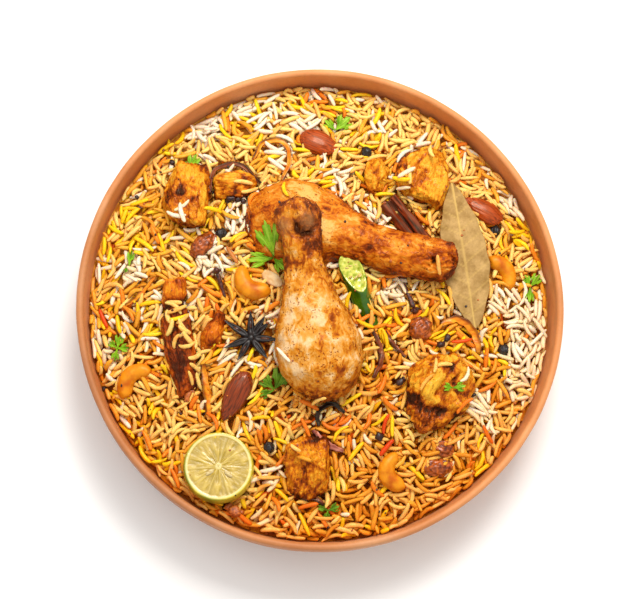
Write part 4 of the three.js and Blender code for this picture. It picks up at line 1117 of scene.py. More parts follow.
def clove_form(length, seed):
    """A clove along +X: a stem with four square sides, and a bud between four sepals."""

    def place(share, angle):
        ends = np.sqrt(np.clip(16 * share, 0, 1)), np.sqrt(np.clip(9 * (1 - share), 0, 1))
        thick = (0.75 + 0.75 * share) * ends[0] * ends[1]
        squared = 1 + 0.08 * np.cos(4 * angle)
        return (share - 0.5) * length, thick * squared * np.cos(angle), thick * squared * np.sin(angle)

    parts = [closed_form(np.linspace(0, 1, 30), 20, place)]
    parts.append(moved(ball((1.7, 1.8, 1.8), 16, 20), Matrix.Translation((length / 2 + 1.1, 0, 0))))
    for side in range(4):
        sepal = Matrix.Translation((length / 2 + 0.4, 1.9, 0)) @ turned("Z", 52)
        parts.append(moved(ball((1.6, 0.55, 0.9), 10, 12), turned("X", 90 * side + 20) @ sepal))
    form = merged(parts)
    return raised(form, 0.16 * noise(form[0], (1.6, 0.9, 0.9), seed) - 0.06)


def make_cloves():
    paint = dried_paint("clove_skin", (104, 48, 28), (34, 14, 10), 1.1, 0.45, 0.2)
    for number, (head, tail) in enumerate(CLOVES, 1):
        form = clove_form((head - tail).length, number)
        nodes = [f"clove_{number}"]
        add_piece(f"whole_clove_{number}", form, paint, "clove", nodes, spanning(tail, head, 45))


# ---------------------------------------------------------------- bay leaf

BAY_BASE = Vector((82.3, -11.5, 44.4))
BAY_TIP = Vector((70.4, 67.6, 46.6))
BAY_ROLL = 2
BAY_HALF_WIDTH = 12.7
BAY_STALK = 0.6
BAY_THICKNESS = 0.5
BAY_VEINS = 9
BAY_GRID = (90, 40)


def leaf_grid(start, rows, columns):
    """Shares along a leaf from its start, and across it from -1 to 1."""
    return np.meshgrid(np.linspace(start, 1, rows), np.linspace(-1, 1, columns), indexing="ij")


def make_bay_leaf():
    share, across = leaf_grid(0, *BAY_GRID)
    outline = np.sin(math.pi * share**0.92) ** 0.85
    y = across * (BAY_STALK + (BAY_HALF_WIDTH - BAY_STALK) * outline)
    y = y * (1 + 0.03 * np.sin(share * 37 + across))
    wave = 0.7 * np.sin(share * 11 + across * 1.6) * np.abs(across)
    curl = 0.5 * np.sin(share * 23 + 3 * across) * across**2
    z = 2.6 * np.sin(math.pi * share) + 0.1 * np.abs(y) + wave + curl
    branch = (share * BAY_VEINS - 0.9 * np.abs(across) * outline + 0.25 * (across > 0)) % 1
    side_vein = bell(np.minimum(branch, 1 - branch), 0.05) * (1 - 0.5 * np.abs(across))
    midrib = bell(y, 0.45)
    vein = np.clip(np.maximum(midrib, 0.7 * side_vein), 0, 1)
    z = z + 0.25 * midrib + 0.12 * side_vein
    under = np.stack([(share - 0.5) * (BAY_TIP - BAY_BASE).length, y, z], -1).reshape(-1, 3)
    form = slab(under, *BAY_GRID, BAY_THICKNESS)
    paint = leaf_paint("dry_bay", (190, 152, 94), (146, 110, 56), (216, 178, 100), 0.6)
    seat = spanning(BAY_BASE, BAY_TIP, BAY_ROLL)
    masks = dict(vein=np.tile(vein.ravel(), 2))
    add_piece("dry_bay_leaf", form, paint, "bay_leaf", ["bay_leaf"], seat, **masks)


# ---------------------------------------------------------------- coriander

HERB_THICKNESS = 0.35
LEAFLET_GRID = (11, 49)
DARK_SPRIGS = (6, 9)
# This sprig lies against the back drumstick.
DRAPED_SPRIG = 1
DRAPE_CLEARANCE = 0.8
# Each sprig: where it lies, and its leaflets as direction, length and half its spread.
CORIANDER = [
    ((-25.5, 24.4, 3.4), [(106, 20, 25), (184, 14.5, 24), (-47, 9, 32)]),
    ((8, 97.4, 2.2), [(46, 12, 34), (132, 8.8, 26)]),
    ((-71, 75, 3.4), [(66, 9.8, 30), (128, 6, 20)]),
    ((-102.6, 21.6, 2.6), [(80, 9.4, 17), (-128, 4, 22)]),
    ((-108.2, -22.4, 2), [(74, 8.4, 26), (4, 7, 26), (138, 6.4, 22), (257, 7, 26)]),
    ((-24.8, -45.6, 3), [(62, 13.4, 33), (136, 10.4, 26), (204, 8.6, 22)]),
    ((113.6, 13, 2.8), [(50, 9.8, 25), (116, 7.4, 24), (264, 9, 25)]),
    ((68.6, -45, 16.2), [(10, 7.4, 30), (172, 5.4, 34)]),
    ((4, -108, 1.8), [(22, 6.8, 30), (150, 6, 30), (262, 5, 26)]),
]


def leaflet(direction, length, spread, number):
    """A leaflet that fans out from the sprig's middle in lobes with small teeth."""
    share, aside = leaf_grid(0.03, *LEAFLET_GRID)
    lobes = np.abs(np.cos(1.5 * math.pi * aside)) ** 0.8
    teeth = np.abs(np.cos(4.5 * math.pi * aside + 0.3 * number))
    cut = smooth_step(share, 0.25, 1)
    reach = length * share * (1 - cut * (0.34 * (1 - lobes) + 0.12 * (1 - teeth)) - 0.2 * cut * aside**2)
    angle = np.radians(direction + aside * spread * (0.7 + 0.45 * share))
    vein = bell(1 - lobes, 0.12) * (1 - 0.5 * share)
    cup = 0.7 * np.sin(math.pi * share) * (aside**2 - 0.4) + 0.5 * np.sin(5 * aside + number) * share
    under = np.stack([reach * np.cos(angle), reach * np.sin(angle), cup - 0.25 * vein], -1)
    return slab(under.reshape(-1, 3), *LEAFLET_GRID, HERB_THICKNESS), np.tile(vein.ravel(), 2)


def draped(form, tree):
    """A slab lifted where it would sink into a surface, so that it lies over it."""
    points = form[0].copy()
    half = len(points) // 2
    for i in range(half):
        x, y, z = points[half + i]
        hit = tree.ray_cast(Vector((x, y, OVERHEAD)), -UP)[0]
        lift = max(0, hit.z + DRAPE_CLEARANCE - z) if hit else 0
        points[[i, half + i], 2] += lift
    return points, form[1]


def make_coriander():
    fresh = leaf_paint("fresh_herb", (146, 194, 34), (84, 138, 8), (180, 212, 76))
    dark = leaf_paint("dark_herb", (104, 150, 24), (52, 92, 6), (150, 182, 64))
    drumstick = piece_tree(["leg_back"])
    for number, (spot, leaflets) in enumerate(CORIANDER, 1):
        forms, veins = [], []
        for shape in leaflets:
            form, vein = leaflet(*shape, number)
            form = moved(form, laid(*spot))
            forms.append(draped(form, drumstick) if number == DRAPED_SPRIG else form)
            veins.append(vein)
        paint = dark if number in DARK_SPRIGS else fresh
        masks = dict(vein=np.concatenate(veins))
        name, nodes = f"herb_sprig_{number}", [f"coriander_{number}"]
        add_piece(name, merged(forms), paint, "coriander", nodes, **masks)


# ---------------------------------------------------------------- fried onion

# Each shred: its route in plan, its lift, its width and its finish.
ONIONS = [
    ([(-36.5, 80), (-31, 90), (-20, 90), (-17, 80), (-21, 68)], 1.8, 3, "golden"),
    ([(-62.4, -32), (-60.6, -47), (-59, -61)], 1.4, 4, "golden"),
    ([(-60, 61), (-57, 74), (-44, 77), (-32.5, 66)], 3, 2.8, "purple"),
    ([(-4.5, -66.5), (3, -73.5), (11.6, -77.4)], 2, 3.4, "pink"),
    ([(63.8, -10), (73, -6.6), (81.5, -13), (84.6, -24)], 2.4, 4.4, "golden"),
    ([(-12, -104.5), (-5, -101), (2, -105)], 1.4, 3.2, "purple"),
    ([(-104, 0.6), (-96, 6.6), (-88, 16.5)], 1.6, 2.6, "golden"),
    ([(33.7, -13.9), (38.5, -21.3), (44.6, -27.5)], 1.6, 2.6, "purple"),
    ([(-1.4, -64.4), (-1.6, -57), (5.6, -52.6), (12.4, -57.4)], 1.8, 2.8, "burnt"),
    ([(27.2, -14), (30.9, -22), (31.5, -30.5), (27.3, -39)], 2, 3, "purple"),
]
ONION_FINISHES = {
    "golden": ((240, 158, 30), (206, 104, 12), (84, 32, 12)),
    "purple": ((138, 66, 34), (88, 34, 22), (38, 14, 12)),
    "pink": ((206, 130, 108), (156, 76, 66), (104, 40, 36)),
    "burnt": ((46, 26, 24), (18, 12, 14), (10, 8, 10)),
}
ONION_THICKNESS = 0.8
ONION_GRID = (64, 12)


def through(points, count):
    """Points along a smooth curve through the given ones."""
    points = np.array([tuple(point) for point in points])
    padded = np.concatenate([2 * points[:1] - points[1:2], points, 2 * points[-1:] - points[-2:-1]])
    at = np.linspace(0, len(points) - 1 - 1e-9, count)
    step = at.astype(int)
    part = (at - step)[:, None]
    before, start, end, after = (padded[step + offset] for offset in range(4))
    return 0.5 * (
        2 * start
        + (end - before) * part
        + (2 * before - 5 * start + 4 * end - after) * part**2
        + (3 * start - 3 * end + after - before) * part**3
    )


def shred_form(route, lift, width, number):
    """A curled shred of onion on the rice, and how burnt its edge is."""
    rows, columns = ONION_GRID
    centre = through([on_heap(x, y, lift) for x, y in route], rows)
    side = np.cross((0, 0, 1), np.gradient(centre, axis=0))
    side /= np.linalg.norm(side, axis=1)[:, None]
    share = np.linspace(0, 1, rows)[:, None]
    across = np.linspace(-0.5, 0.5, columns)[None, :]
    twist = 0.5 * np.sin(share * 5 + number)
    ragged = 1 + 0.12 * np.sin(share * 31 + number) * np.sign(across)
    reach = across * width * (1 - 0.35 * np.abs(2 * share - 1) ** 2) * ragged
    cup = 1.4 * across**2 + 0.25 * np.sin(share * 17 + number)
    points = centre[:, None, :] + side[:, None, :] * (reach * np.cos(twist))[..., None]
    points[..., 2] += np.sin(twist) * reach + cup + ONION_THICKNESS / 2 - 0.3
    outer = smooth_step(2 * across * (1 if number % 2 else -1), 0.1, 0.9)
    edge = outer + 0.6 * smooth_step(np.abs(2 * share - 1), 0.75, 1)
    edge = np.clip(edge * (0.75 + 0.5 * noise(points, 4, number)), 0, 1).ravel()
    return slab(points.reshape(-1, 3), rows, columns, ONION_THICKNESS), np.tile(edge, 2)


def make_onions():
    paints = {name: onion_paint(f"{name}_onion", *colours) for name, colours in ONION_FINISHES.items()}
    for number, (*shape, finish) in enumerate(ONIONS, 1):
        form, edge = shred_form(*shape, number)
        name, nodes = f"onion_shred_{number}", [f"onion_{number}"]
        add_piece(name, form, paints[finish], "onion", nodes, edge=edge)


# ---------------------------------------------------------------- where grains come to rest

GRID_STEP = 0.5
# How many cells wide the blocks are for which one ray looks for toppings.
RAY_CELLS = 2
GRID_REACH = 134
BED_DEPTH = 4
NOT_ON_RICE = ("clay_dish", "dish", "rice")
THIN_TOPPINGS = (
    "herb", "coriander", "onion", "dry_bay", "bay", "star", "whole_clove", "clove", "whole_pepper",
    "peppercorn", "cinnamon",
)
# How many cells of the map a grain's end may go in under the side of a bulky topping.
TUCK = 4
# How high above the rice a topping's under side lets grains lie under it.
HEADROOM = 3.5


def topping_trees():
    """The surfaces of the thin toppings, and of the bulky ones."""
    names = [piece.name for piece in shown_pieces() if piece.name not in NOT_ON_RICE]
    thin = [name for name in names if name.startswith(THIN_TOPPINGS)]
    return piece_tree(thin), piece_tree([name for name in names if name not in thin])


def shrunk(tops, cells):
    """A map of tops, with each top's border moved in by some cells."""
    least = tops
    for i, j in itertools.product(range(-cells, cells + 1), repeat=2):
        if math.hypot(i, j) <= cells:
            least = np.minimum(least, np.roll(tops, (i, j), (0, 1)))
    return least


class Surface:
    """A map of how high the food comes over every place in plan, which grains come to rest on."""

    def __init__(self, thin_tree, bulky_tree):
        count = int(2 * GRID_REACH / GRID_STEP) + 1
        self.line = np.linspace(-GRID_REACH, GRID_REACH, count)
        x, y = np.meshgrid(self.line, self.line, indexing="ij")
        self.spots = np.stack([x, y, 0 * x], -1)
        self.heap = heap_height(x, y)
        thin_tops, self.thin = self.toppings(thin_tree)
        bulky_tops, bulky = self.toppings(bulky_tree)
        self.delicate = np.isfinite(thin_tops)
        self.tops = np.maximum(thin_tops, bulky_tops)
        bed = self.heap - BED_DEPTH + 0.7 * noise(self.spots, 4, 31)
        self.height = np.maximum(bed, shrunk(bulky, TUCK))

    def toppings(self, tree):
        """Maps of the toppings' tops: of all of them, and of those that grains can't lie under."""
        tops, solid = np.full((2, *self.heap.shape), -np.inf)
        for i, j in itertools.product(range(0, len(self.line), RAY_CELLS), repeat=2):
            x, y, heap = self.line[i], self.line[j], self.heap[i, j]
            hit = tree.ray_cast(Vector((x, y, OVERHEAD)), -UP)[0]
            if hit is None:
                continue
            block = np.s_[i : i + RAY_CELLS, j : j + RAY_CELLS]
            tops[block] = hit.z
            # A face that looks up here is met from inside its form, or in a form whose faces look
            # inward: either way the topping counts as resting on the rice.
            under = tree.ray_cast(Vector((x, y, heap - 1.5)), UP)
            if under[0] is None or under[1].z >= 0 or under[0].z <= heap + HEADROOM:
                solid[block] = hit.z
        return tops, solid

    def index(self, points):
        """The map's cells at places along x or y."""
        return np.rint((points + GRID_REACH) / GRID_STEP).astype(int)

    def at(self, values, x, y):
        return values[..., self.index(x), self.index(y)]

    def rest(self, x, y, turn, length, width):
        """The height and slope at which a grain comes to rest, and the share of it that is over a
        thin topping."""
        along = np.linspace(-0.4, 0.4, 5)[:, None] * length
        across = np.array([-0.25, 0.0, 0.25])[None, :] * width
        cos, sin = math.cos(turn), math.sin(turn)
        ix = self.index(x + along * cos - across * sin)
        iy = self.index(y + along * sin + across * cos)
        tops = self.height[ix, iy].max(axis=1)
        places = along[:, 0]
        best, slope = tops[2], (tops[4] - tops[0]) / (places[4] - places[0])
        for low, high in itertools.product((0, 1), (3, 4)):
            tilt = (tops[high] - tops[low]) / (places[high] - places[low])
            level = tops[low] - tilt * places[low]
            if level > best:
                best, slope = level, tilt
        return best, slope, self.delicate[ix, iy].mean()

    def cover(self, x, y, z, turn, slope, length, width, thickness):
        """Raises the map by a grain that has come to rest."""
        reach = length / 2
        low = self.index(np.array([x - reach, y - reach]))
        high = self.index(np.array([x + reach, y + reach])) + 1
        gx = np.arange(low[0], high[0])[:, None] * GRID_STEP - GRID_REACH - x
        gy = np.arange(low[1], high[1])[None, :] * GRID_STEP - GRID_REACH - y
        along = gx * math.cos(turn) + gy * math.sin(turn)
        across = -gx * math.sin(turn) + gy * math.cos(turn)
        room = 1 - (2 * along / length) ** 4 - (2 * across / width) ** 2
        top = z + slope * along + thickness / 2 * np.sqrt(np.maximum(0, room))
        window = self.height[low[0] : high[0], low[1] : high[1]]
        np.maximum(window, np.where(room > 0, top, -np.inf), out=window)


# ---------------------------------------------------------------- colours of the rice

# Each kind of grain: its pale and its deep colour, which its tint runs between, partly as painted
# shade, and that of its stains.
KINDS = {
    "white": ((244, 228, 204), (242, 198, 124), (240, 176, 74)),
    "cream": ((250, 211, 120), (230, 144, 22), (218, 114, 6)),
    "golden": ((242, 178, 56), (214, 120, 8), (196, 92, 2)),
    "yellow": ((254, 212, 32), (242, 164, 0), (234, 138, 0)),
    "orange": ((242, 142, 34), (222, 92, 8), (206, 80, 8)),
    "red": ((226, 80, 16), (206, 50, 10), (180, 40, 8)),
    "brown": ((206, 128, 60), (150, 74, 24), (110, 48, 14)),
}
WHITE_STAIN = 0.2
USUAL_STAIN = 0.45
# Plain white rice shows in places: x, y and radius.
WHITE_PATCHES = [
    (112, -8, 13), (110, -26, 12), (104, -42, 6), (-42, 47, 10), (10, 68, 7), (86, -52, 8), (-102, 20, 7),
    (107, 62, 9), (38, 8, 7), (99, 3, 8), (29, 47, 6), (-60, 98, 9), (-84, 2, 5), (-8, 100, 6),
    (-112, -28, 6), (-58, 23, 9), (-68, 42, 4), (-30, -8, 7), (-46, -30, 6), (-24, -26, 5), (-16, 62, 6),
]


def far_side(y):
    """How much a place belongs to the dish's far side, where the grains get less painted shade and the
    bed is painted paler.
    """
    return smooth_step(y, -30, 40)


class Colours:
    """Maps of which kind of grain lies where, and which way grains point: both go in clumps."""

    def __init__(self, surface):
        x, y = surface.spots[..., 0], surface.spots[..., 1]
        # From 0 on the dish's far side to 1 on its near side.
        low = 0.5 - y / 240
        likely = dict(
            white=0.22 - 0.17 * low,
            cream=0.46 - 0.04 * low,
            golden=0.2 + 0.2 * low,
            yellow=0.13 - 0.02 * low + 0.1 * smooth_step(-x, 0, 110),
            orange=0.08 + 0.03 * low,
            red=0.003 + 0 * low,
        )
        self.kinds = list(likely)
        clumps = [1.5 * noise(surface.spots, 11, 61 + number) for number in range(len(likely))]
        self.scores = np.log(np.stack(list(likely.values()))) + np.stack(clumps)
        plain = [np.hypot(x - px, y - py) < radius for px, py, radius in WHITE_PATCHES]
        self.scores[0] += 4 * np.any(plain, axis=0)
        self.drift = 3.2 * noise(surface.spots, 26, 71)
        self.at = surface.at

    def kind(self, random, x, y):
        scores = self.at(self.scores, x, y)
        return self.kinds[int(np.argmax(scores + 0.6 * random.gumbel(size=len(scores))))]

    def turn(self, random, x, y):
        return self.at(self.drift, x, y) + random.normal(0, 0.75)


# ---------------------------------------------------------------- loose rice

RICE_SEED = 2026
# How far from the dish's middle a grain's tips may be, and how far they are from the grain's own
# middle, as a share of its length.
GRAIN_REACH = 123.2
GRAIN_TIP = 0.42
GRAIN_WIDTHS = (2, 2.75)
# A grain's thickness as a share of its width, and how far its middle lies above what it lies on, as
# a share of its thickness.
GRAIN_FLATNESS = (0.75, 0.9)
GRAIN_LIFT = 0.2
# The slope up to which grains lie: most of them, those that stick out, and those on other food.
GRAIN_STEEPEST = 0.6
STICKING_OUT = 1.1
LYING_STEEPEST = 1
ACCENT_STEEPEST = 1.3
# The share of a grain that may lie over a leaf or another thin topping.
MOST_HIDDEN = 0.15
# Each cap is how high above the heap's own surface the middle of a grain may lie. The hidden grains
# lie under a leaf or another thin topping.
HIDDEN_TRIES = 40000
HIDDEN_CAP = -0.2
HIDDEN_LENGTHS = (6, 9)
LONG_TRIES = 64000
LONG_CAP = 0.6
LONG_CAP_SPREAD = 2.2
# The usual length of a long grain and its spread, and the least and the most.
LONG_LENGTH = (11, 1.6)
LONG_LENGTHS = (7.5, 14)
# How far below its cap a place has to be for another grain.
GRAIN_ROOM = 0.7
SHORT_TRIES = 30000
SHORT_CAP = 0
SHORT_LENGTHS = (5, 7.5)
# Where the bed is still bare, grains lean on what lies beside it.
LEANING_TRIES = 60000
LEANING_CAP = 2.2
LEANING_LENGTHS = (5, 9)
BARE_DEPTH = 2
# Where loose grains lie on top of other food: x, y, radius and how many are dropped.
LITTER = [
    (-77, -4.5, 6, 22), (-75.4, -12.5, 6.5, 26), (-73, -20, 5, 9), (-69, -34, 6, 4), (66, -31, 7, 3),
    (44, 67, 5, 12), (-78, 50, 5, 5), (-36, 58, 6, 9), (77, -58, 5, 9), (-13, -79, 5, 5), (60, 84, 4, 4),
    (-41, 68, 4, 3),
]
LITTER_DEPTH = 2
LITTER_LENGTHS = (8, 12)
# Single grains that stand out, also on top of other food: x, y and direction.
ACCENTS = {
    "yellow": [
        (23, -10.6, 161), (19.8, -18.4, 39), (18.8, -33.3, 119), (19.3, -40.4, 132), (9.7, -67.6, 45),
        (37.5, -64.2, 90), (65.6, 5.3, 129), (73.6, -20.3, 51), (33.9, -18.2, 104), (-57.8, 51, 172),
        (-20, 60.5, 100),
    ],
    "orange": [
        (32.1, -42.8, 67), (36.1, -53, 142), (-6.3, -53.4, 155), (-8.3, -65.4, 115), (88.4, -26.9, 85),
        (89.2, -67.4, 119), (-105.6, 59.2, 108), (-88.8, 38.7, 113), (-91.5, -71.2, 113),
        (-76.5, -91.2, 113), (-40.4, -112, 138), (-56.7, -61.3, 121), (29.7, -97.3, 134), (69, -66, 50),
    ],
    "red": [(33.8, -63.2, 75), (34.5, -75.4, 49), (74.7, -18.6, 8), (-116, -5.9, 114)],
    "brown": [(75.8, 26.2, 12), (-47.6, 26.1, 123)],
    "cream": [
        (54.5, -42, 50), (60.8, 19, 100), (-22, -34, 150), (26, -24, 15), (-2, -52.5, 20), (8, -53, 160),
    ],
    "white": [(-21, -30, 130), (76, -38, 60), (-24, -36, 160)],
}
ACCENT_LENGTH = 11.5
ACCENT_CAP = 60
GRAIN_SIDES = 6
# Share of a grain's length and its radius there, as a share of its full radius.
GRAIN_OUTLINE = [
    (0, 0), (0.02, 0.45), (0.1, 0.82), (0.31, 1), (0.64, 0.98), (0.88, 0.79), (0.976, 0.42), (1, 0),
]


def in_circle(random, radius):
    """A random place in a circle round the origin."""
    reach = radius * math.sqrt(random.random())
    bearing = random.uniform(0, FULL_TURN)
    return reach * math.cos(bearing), reach * math.sin(bearing)


class Rice:
    """Grains that are dropped on the food one by one, and stay where they come to rest."""

    def __init__(self, surface):
        self.surface = surface
        self.colours = Colours(surface)
        self.random = np.random.default_rng(RICE_SEED)
        self.grains = []

    def height(self, x, y):
        """How high the food comes over a place, from the heap's own surface."""
        return self.surface.at(self.surface.height, x, y) - heap_height(x, y)

    def drop(self, spot, turn, length, cap, steepest, most_hidden=1, kind=None):
        """Drops a grain, which is taken away again if it stands too high or too steep, or hides too
        much of a thin topping."""
        x, y = spot
        random = self.random
        kind = kind or self.colours.kind(random, x, y)
        ahead, aside = GRAIN_TIP * length * math.cos(turn), GRAIN_TIP * length * math.sin(turn)
        if max(math.hypot(x + ahead, y + aside), math.hypot(x - ahead, y - aside)) > GRAIN_REACH:
            return
        width = random.uniform(*GRAIN_WIDTHS)
        thickness = width * random.uniform(*GRAIN_FLATNESS)
        level, slope, hides = self.surface.rest(x, y, turn, length, width)
        z = level + GRAIN_LIFT * thickness
        heap = heap_height(x, y)
        if abs(slope) > steepest or z > heap + cap or hides > most_hidden:
            return
        self.surface.cover(x, y, z, turn, slope, length, width, thickness)
        # Painted shade: deep grains are darker, less so on the far side, and grains are darker towards
        # the near side.
        depth = min(1, max(0, (heap + 0.8 - z) / 3.6))
        near_shade = 0.26 * smooth_step(0.4 * x - y, -20, 120) - 0.15 * smooth_step(y - 0.5 * x, 20, 110)
        deeper = (0.95 - 0.42 * far_side(y)) * depth
        tint = min(1, max(0, deeper + near_shade + random.uniform(-0.1, 0.45)))
        bend = min(0.22, max(-0.22, random.normal(0, 0.1)))
        roll = random.uniform(-0.3, 0.3)
        size = length, width, thickness
        self.grains.append((kind, (x, y, z), turn, math.atan(slope), roll, size, bend, tint))

    def drop_under_toppings(self):
        for _ in range(HIDDEN_TRIES):
            spot = in_circle(self.random, GRAIN_REACH)
            if self.surface.at(self.surface.delicate, *spot):
                turn, length = self.random.uniform(0, math.pi), self.random.uniform(*HIDDEN_LENGTHS)
                self.drop(spot, turn, length, HIDDEN_CAP, STICKING_OUT)

    def drop_layer(self):
        """The most of the rice: long grains, some of which stick out, and short ones between them."""
        random = self.random
        for attempt in range(LONG_TRIES + SHORT_TRIES):
            spot = in_circle(random, GRAIN_REACH)
            long = attempt < LONG_TRIES
            cap = LONG_CAP + LONG_CAP_SPREAD * random.random() ** 2 if long else SHORT_CAP
            if self.height(*spot) > cap - GRAIN_ROOM:
                continue
            if long:
                length = min(LONG_LENGTHS[1], max(LONG_LENGTHS[0], random.normal(*LONG_LENGTH)))
            else:
                length = random.uniform(*SHORT_LENGTHS)
            turn = self.colours.turn(random, *spot)
            steepest = STICKING_OUT if attempt % 3 == 0 else GRAIN_STEEPEST
            self.drop(spot, turn, length, cap, steepest, MOST_HIDDEN)

    def drop_leaning(self):
        for _ in range(LEANING_TRIES):
            spot = in_circle(self.random, GRAIN_REACH)
            if self.height(*spot) <= -BARE_DEPTH:
                turn, length = self.random.uniform(0, math.pi), self.random.uniform(*LEANING_LENGTHS)
                self.drop(spot, turn, length, LEANING_CAP, STICKING_OUT, MOST_HIDDEN)

    def drop_litter(self):
        covered = self.surface.height.copy()
        for x, y, radius, count in LITTER:
            for _ in range(count):
                ahead = in_circle(self.random, radius)
                spot = x + ahead[0], y + ahead[1]
                turn, length = self.random.uniform(0, math.pi), self.random.uniform(*LITTER_LENGTHS)
                cap = self.surface.at(covered, *spot) - heap_height(*spot) + LITTER_DEPTH
                self.drop(spot, turn, length, cap, LYING_STEEPEST, MOST_HIDDEN)

    def drop_accents(self):
        for kind, places in ACCENTS.items():
            for x, y, direction in places:
                turn = math.radians(direction)
                self.drop((x, y), turn, ACCENT_LENGTH, ACCENT_CAP, ACCENT_STEEPEST, kind=kind)

    def pour(self):
        surface = self.surface
        self.drop_under_toppings()
        surface.height = np.maximum(surface.height, surface.thin)
        self.drop_layer()
        self.drop_leaning()
        surface.height = np.maximum(surface.height, surface.tops)
        self.drop_litter()
        self.drop_accents()


def grain_template():
    """One grain of size 1: slender, with rounded ends."""
    outline = np.array(GRAIN_OUTLINE)

    def place(share, angle):
        ring = 0.5 * np.interp(share, outline[:, 0], outline[:, 1])
        return share - 0.5, ring * np.cos(angle), ring * np.sin(angle)

    return closed_form(outline[:, 0], GRAIN_SIDES, place)


def spun(first, second, angles):
    """Two coordinates of each grain's points, turned by the grain's angle."""
    cos, sin = np.cos(angles)[:, None], np.sin(angles)[:, None]
    return first * cos - second * sin, first * sin + second * cos


def grain_meshes(grains):
    """All the grains of one kind as one form, with a tint for each point."""
    points, faces = grain_template()
    places, turns, tilts, rolls, sizes, bends, tints = (
        np.array([grain[part] for grain in grains]) for part in range(1, 8)
    )
    bent = np.repeat(points[None], len(grains), axis=0) * sizes[:, None, :]
    bent[..., 1] += bends[:, None] * sizes[:, :1] * (4 * points[:, 0] ** 2 - 0.4)
    y, z = spun(bent[..., 1], bent[..., 2], rolls)
    x, z = spun(bent[..., 0], z, tilts)
    x, y = spun(x, y, turns)
    placed = np.stack([x, y, z], -1) + places[:, None, :]
    starts = np.arange(len(grains))[:, None, None] * len(points)
    groups = [(group[None] + starts).reshape(-1, group.shape[1]) for group in faces]
    ends = 0.15 * np.abs(2 * points[:, 0]) ** 3
    tint = np.clip(tints[:, None] + ends[None, :], 0, 1).ravel()
    return (placed.reshape(-1, 3), groups), tint


# ---------------------------------------------------------------- the rice's core

BED_SIDES = 180
BED_RINGS = 110
BED_CLEARANCE = 0.5


def make_bed():
    """The spiced core under the loose grains, down to the dish's floor."""
    floor = [(FLOOR_RADIUS * share, FLOOR_HEIGHT + BED_CLEARANCE) for share in (0, 0.5)]
    reach = (INNER_RADIUS - FLOOR_RADIUS - BED_CLEARANCE, INNER_CURVE_TOP - FLOOR_HEIGHT - BED_CLEARANCE)
    wall = arc((FLOOR_RADIUS, INNER_CURVE_TOP), reach, -90, -14, 14)
    top = [(wall[-1][0] * share, np.nan) for share in 1 - np.linspace(0.004, 1, BED_RINGS)]

    def place(radius, height, angle):
        x, y = radius * np.cos(angle), radius * np.sin(angle)
        surface = heap_height(x, y) - BED_DEPTH + 0.9 * noise(np.stack([x, y, 0 * x], -1), 3.4, 31) - 0.8
        return x, y, np.where(np.isnan(height), surface, height)

    form = lathed(floor + wall + top, BED_SIDES, place)
    add_piece("rice_bed", form, bed_paint(), "rice", ["rice"], far=far_side(form[0][:, 1]))


def make_rice():
    surface = Surface(*topping_trees())
    rice = Rice(surface)
    rice.pour()
    make_bed()
    for kind, colours in KINDS.items():
        form, tint = grain_meshes([grain for grain in rice.grains if grain[0] == kind])
        stain_share = WHITE_STAIN if kind == "white" else USUAL_STAIN
        paint = grain_paint(f"{kind}_rice_paint", *colours, stain_share)
        add_piece(f"{kind}_rice", form, paint, "rice", ["rice"], tint=tint)
    return surface


# ---------------------------------------------------------------- crumbs on the rice

# Crumbs of burnt onion and of fried spice: x, y, radius.
BURNT_CRUMBS = [
    (-47.8, 58, 2.6), (-44.6, 57.2, 2.4), (-50, 56.4, 1.8), (-41.6, 56, 1.6), (81.4, -46.5, 2.0),
    (41.8, -41.2, 2.2), (43.6, -39.4, 1.4), (30.7, -69.7, 2.4), (-80.2, 79.7, 1.5), (-98.9, 60.3, 1.3),
    (-115, -42.9, 1.5), (67.2, -16.6, 1.8), (63.4, -20.5, 2.2),
]
SPICE_CRUMBS = [
    (-48.7, -106.6, 2.4), (-45, -108.4, 2.8), (-41.4, -108.9, 2.0), (-70.3, -48.8, 2.6), (-68, -46, 1.8),
]
CRUMB_SEED = 11
FINE_CRUMBS = 150
BURNT_SHARE = 0.4
CASHEW_HALF = (-26.3, 13.6, 2.6, -35)
CASHEW_HALF_SIZE = (6.4, 3.4, 1.8)


def crumb(random, surface, x, y, radius):
    """A rough little lump that lies on the rice."""
    form = ball((radius, radius * random.uniform(0.7, 1), radius * random.uniform(0.5, 0.8)), 10, 12)
    form = raised(form, 0.4 * radius * noise(form[0], 0.9 * radius, int(random.integers(90))))
    level = surface.at(surface.height, x, y)
    turn = Matrix.Rotation(random.uniform(0, FULL_TURN), 4, "Z")
    return moved(form, Matrix.Translation((x, y, level + 0.3 * radius)) @ turn)


def make_crumbs(surface):
    random = np.random.default_rng(CRUMB_SEED)
    burnt = [crumb(random, surface, *place) for place in BURNT_CRUMBS]
    spice = [crumb(random, surface, *place) for place in SPICE_CRUMBS]
    for _ in range(FINE_CRUMBS):
        spot = in_circle(random, GRAIN_REACH)
        lumps = burnt if random.random() < BURNT_SHARE else spice
        lumps.append(crumb(random, surface, *spot, random.uniform(0.35, 0.8)))
    dark = dried_paint("burnt_crumb_paint", (70, 30, 16), (18, 8, 6), 1.2, 0.4, 0.3)
    warm = dried_paint("spice_crumb_paint", (206, 112, 40), (128, 50, 12), 1.2, 0.45, 0.3)
    add_piece("burnt_crumbs", merged(burnt), dark, "onion")
    add_piece("spice_crumbs", merged(spice), warm, "onion")
    pale = nut_paint("split_cashew", (246, 212, 160), (226, 170, 104), (4, 2, 2))
    add_piece("cashew_half", ball(CASHEW_HALF_SIZE, 20, 24), pale, "cashew", (), laid(*CASHEW_HALF))


# ---------------------------------------------------------------- stage, light and camera

FLOOR_REACH = 3
FLOOR_GAP = 0.0003
SKY_COLOUR = (1, 0.985, 0.96, 1)
SKY_STRENGTH = 0.72
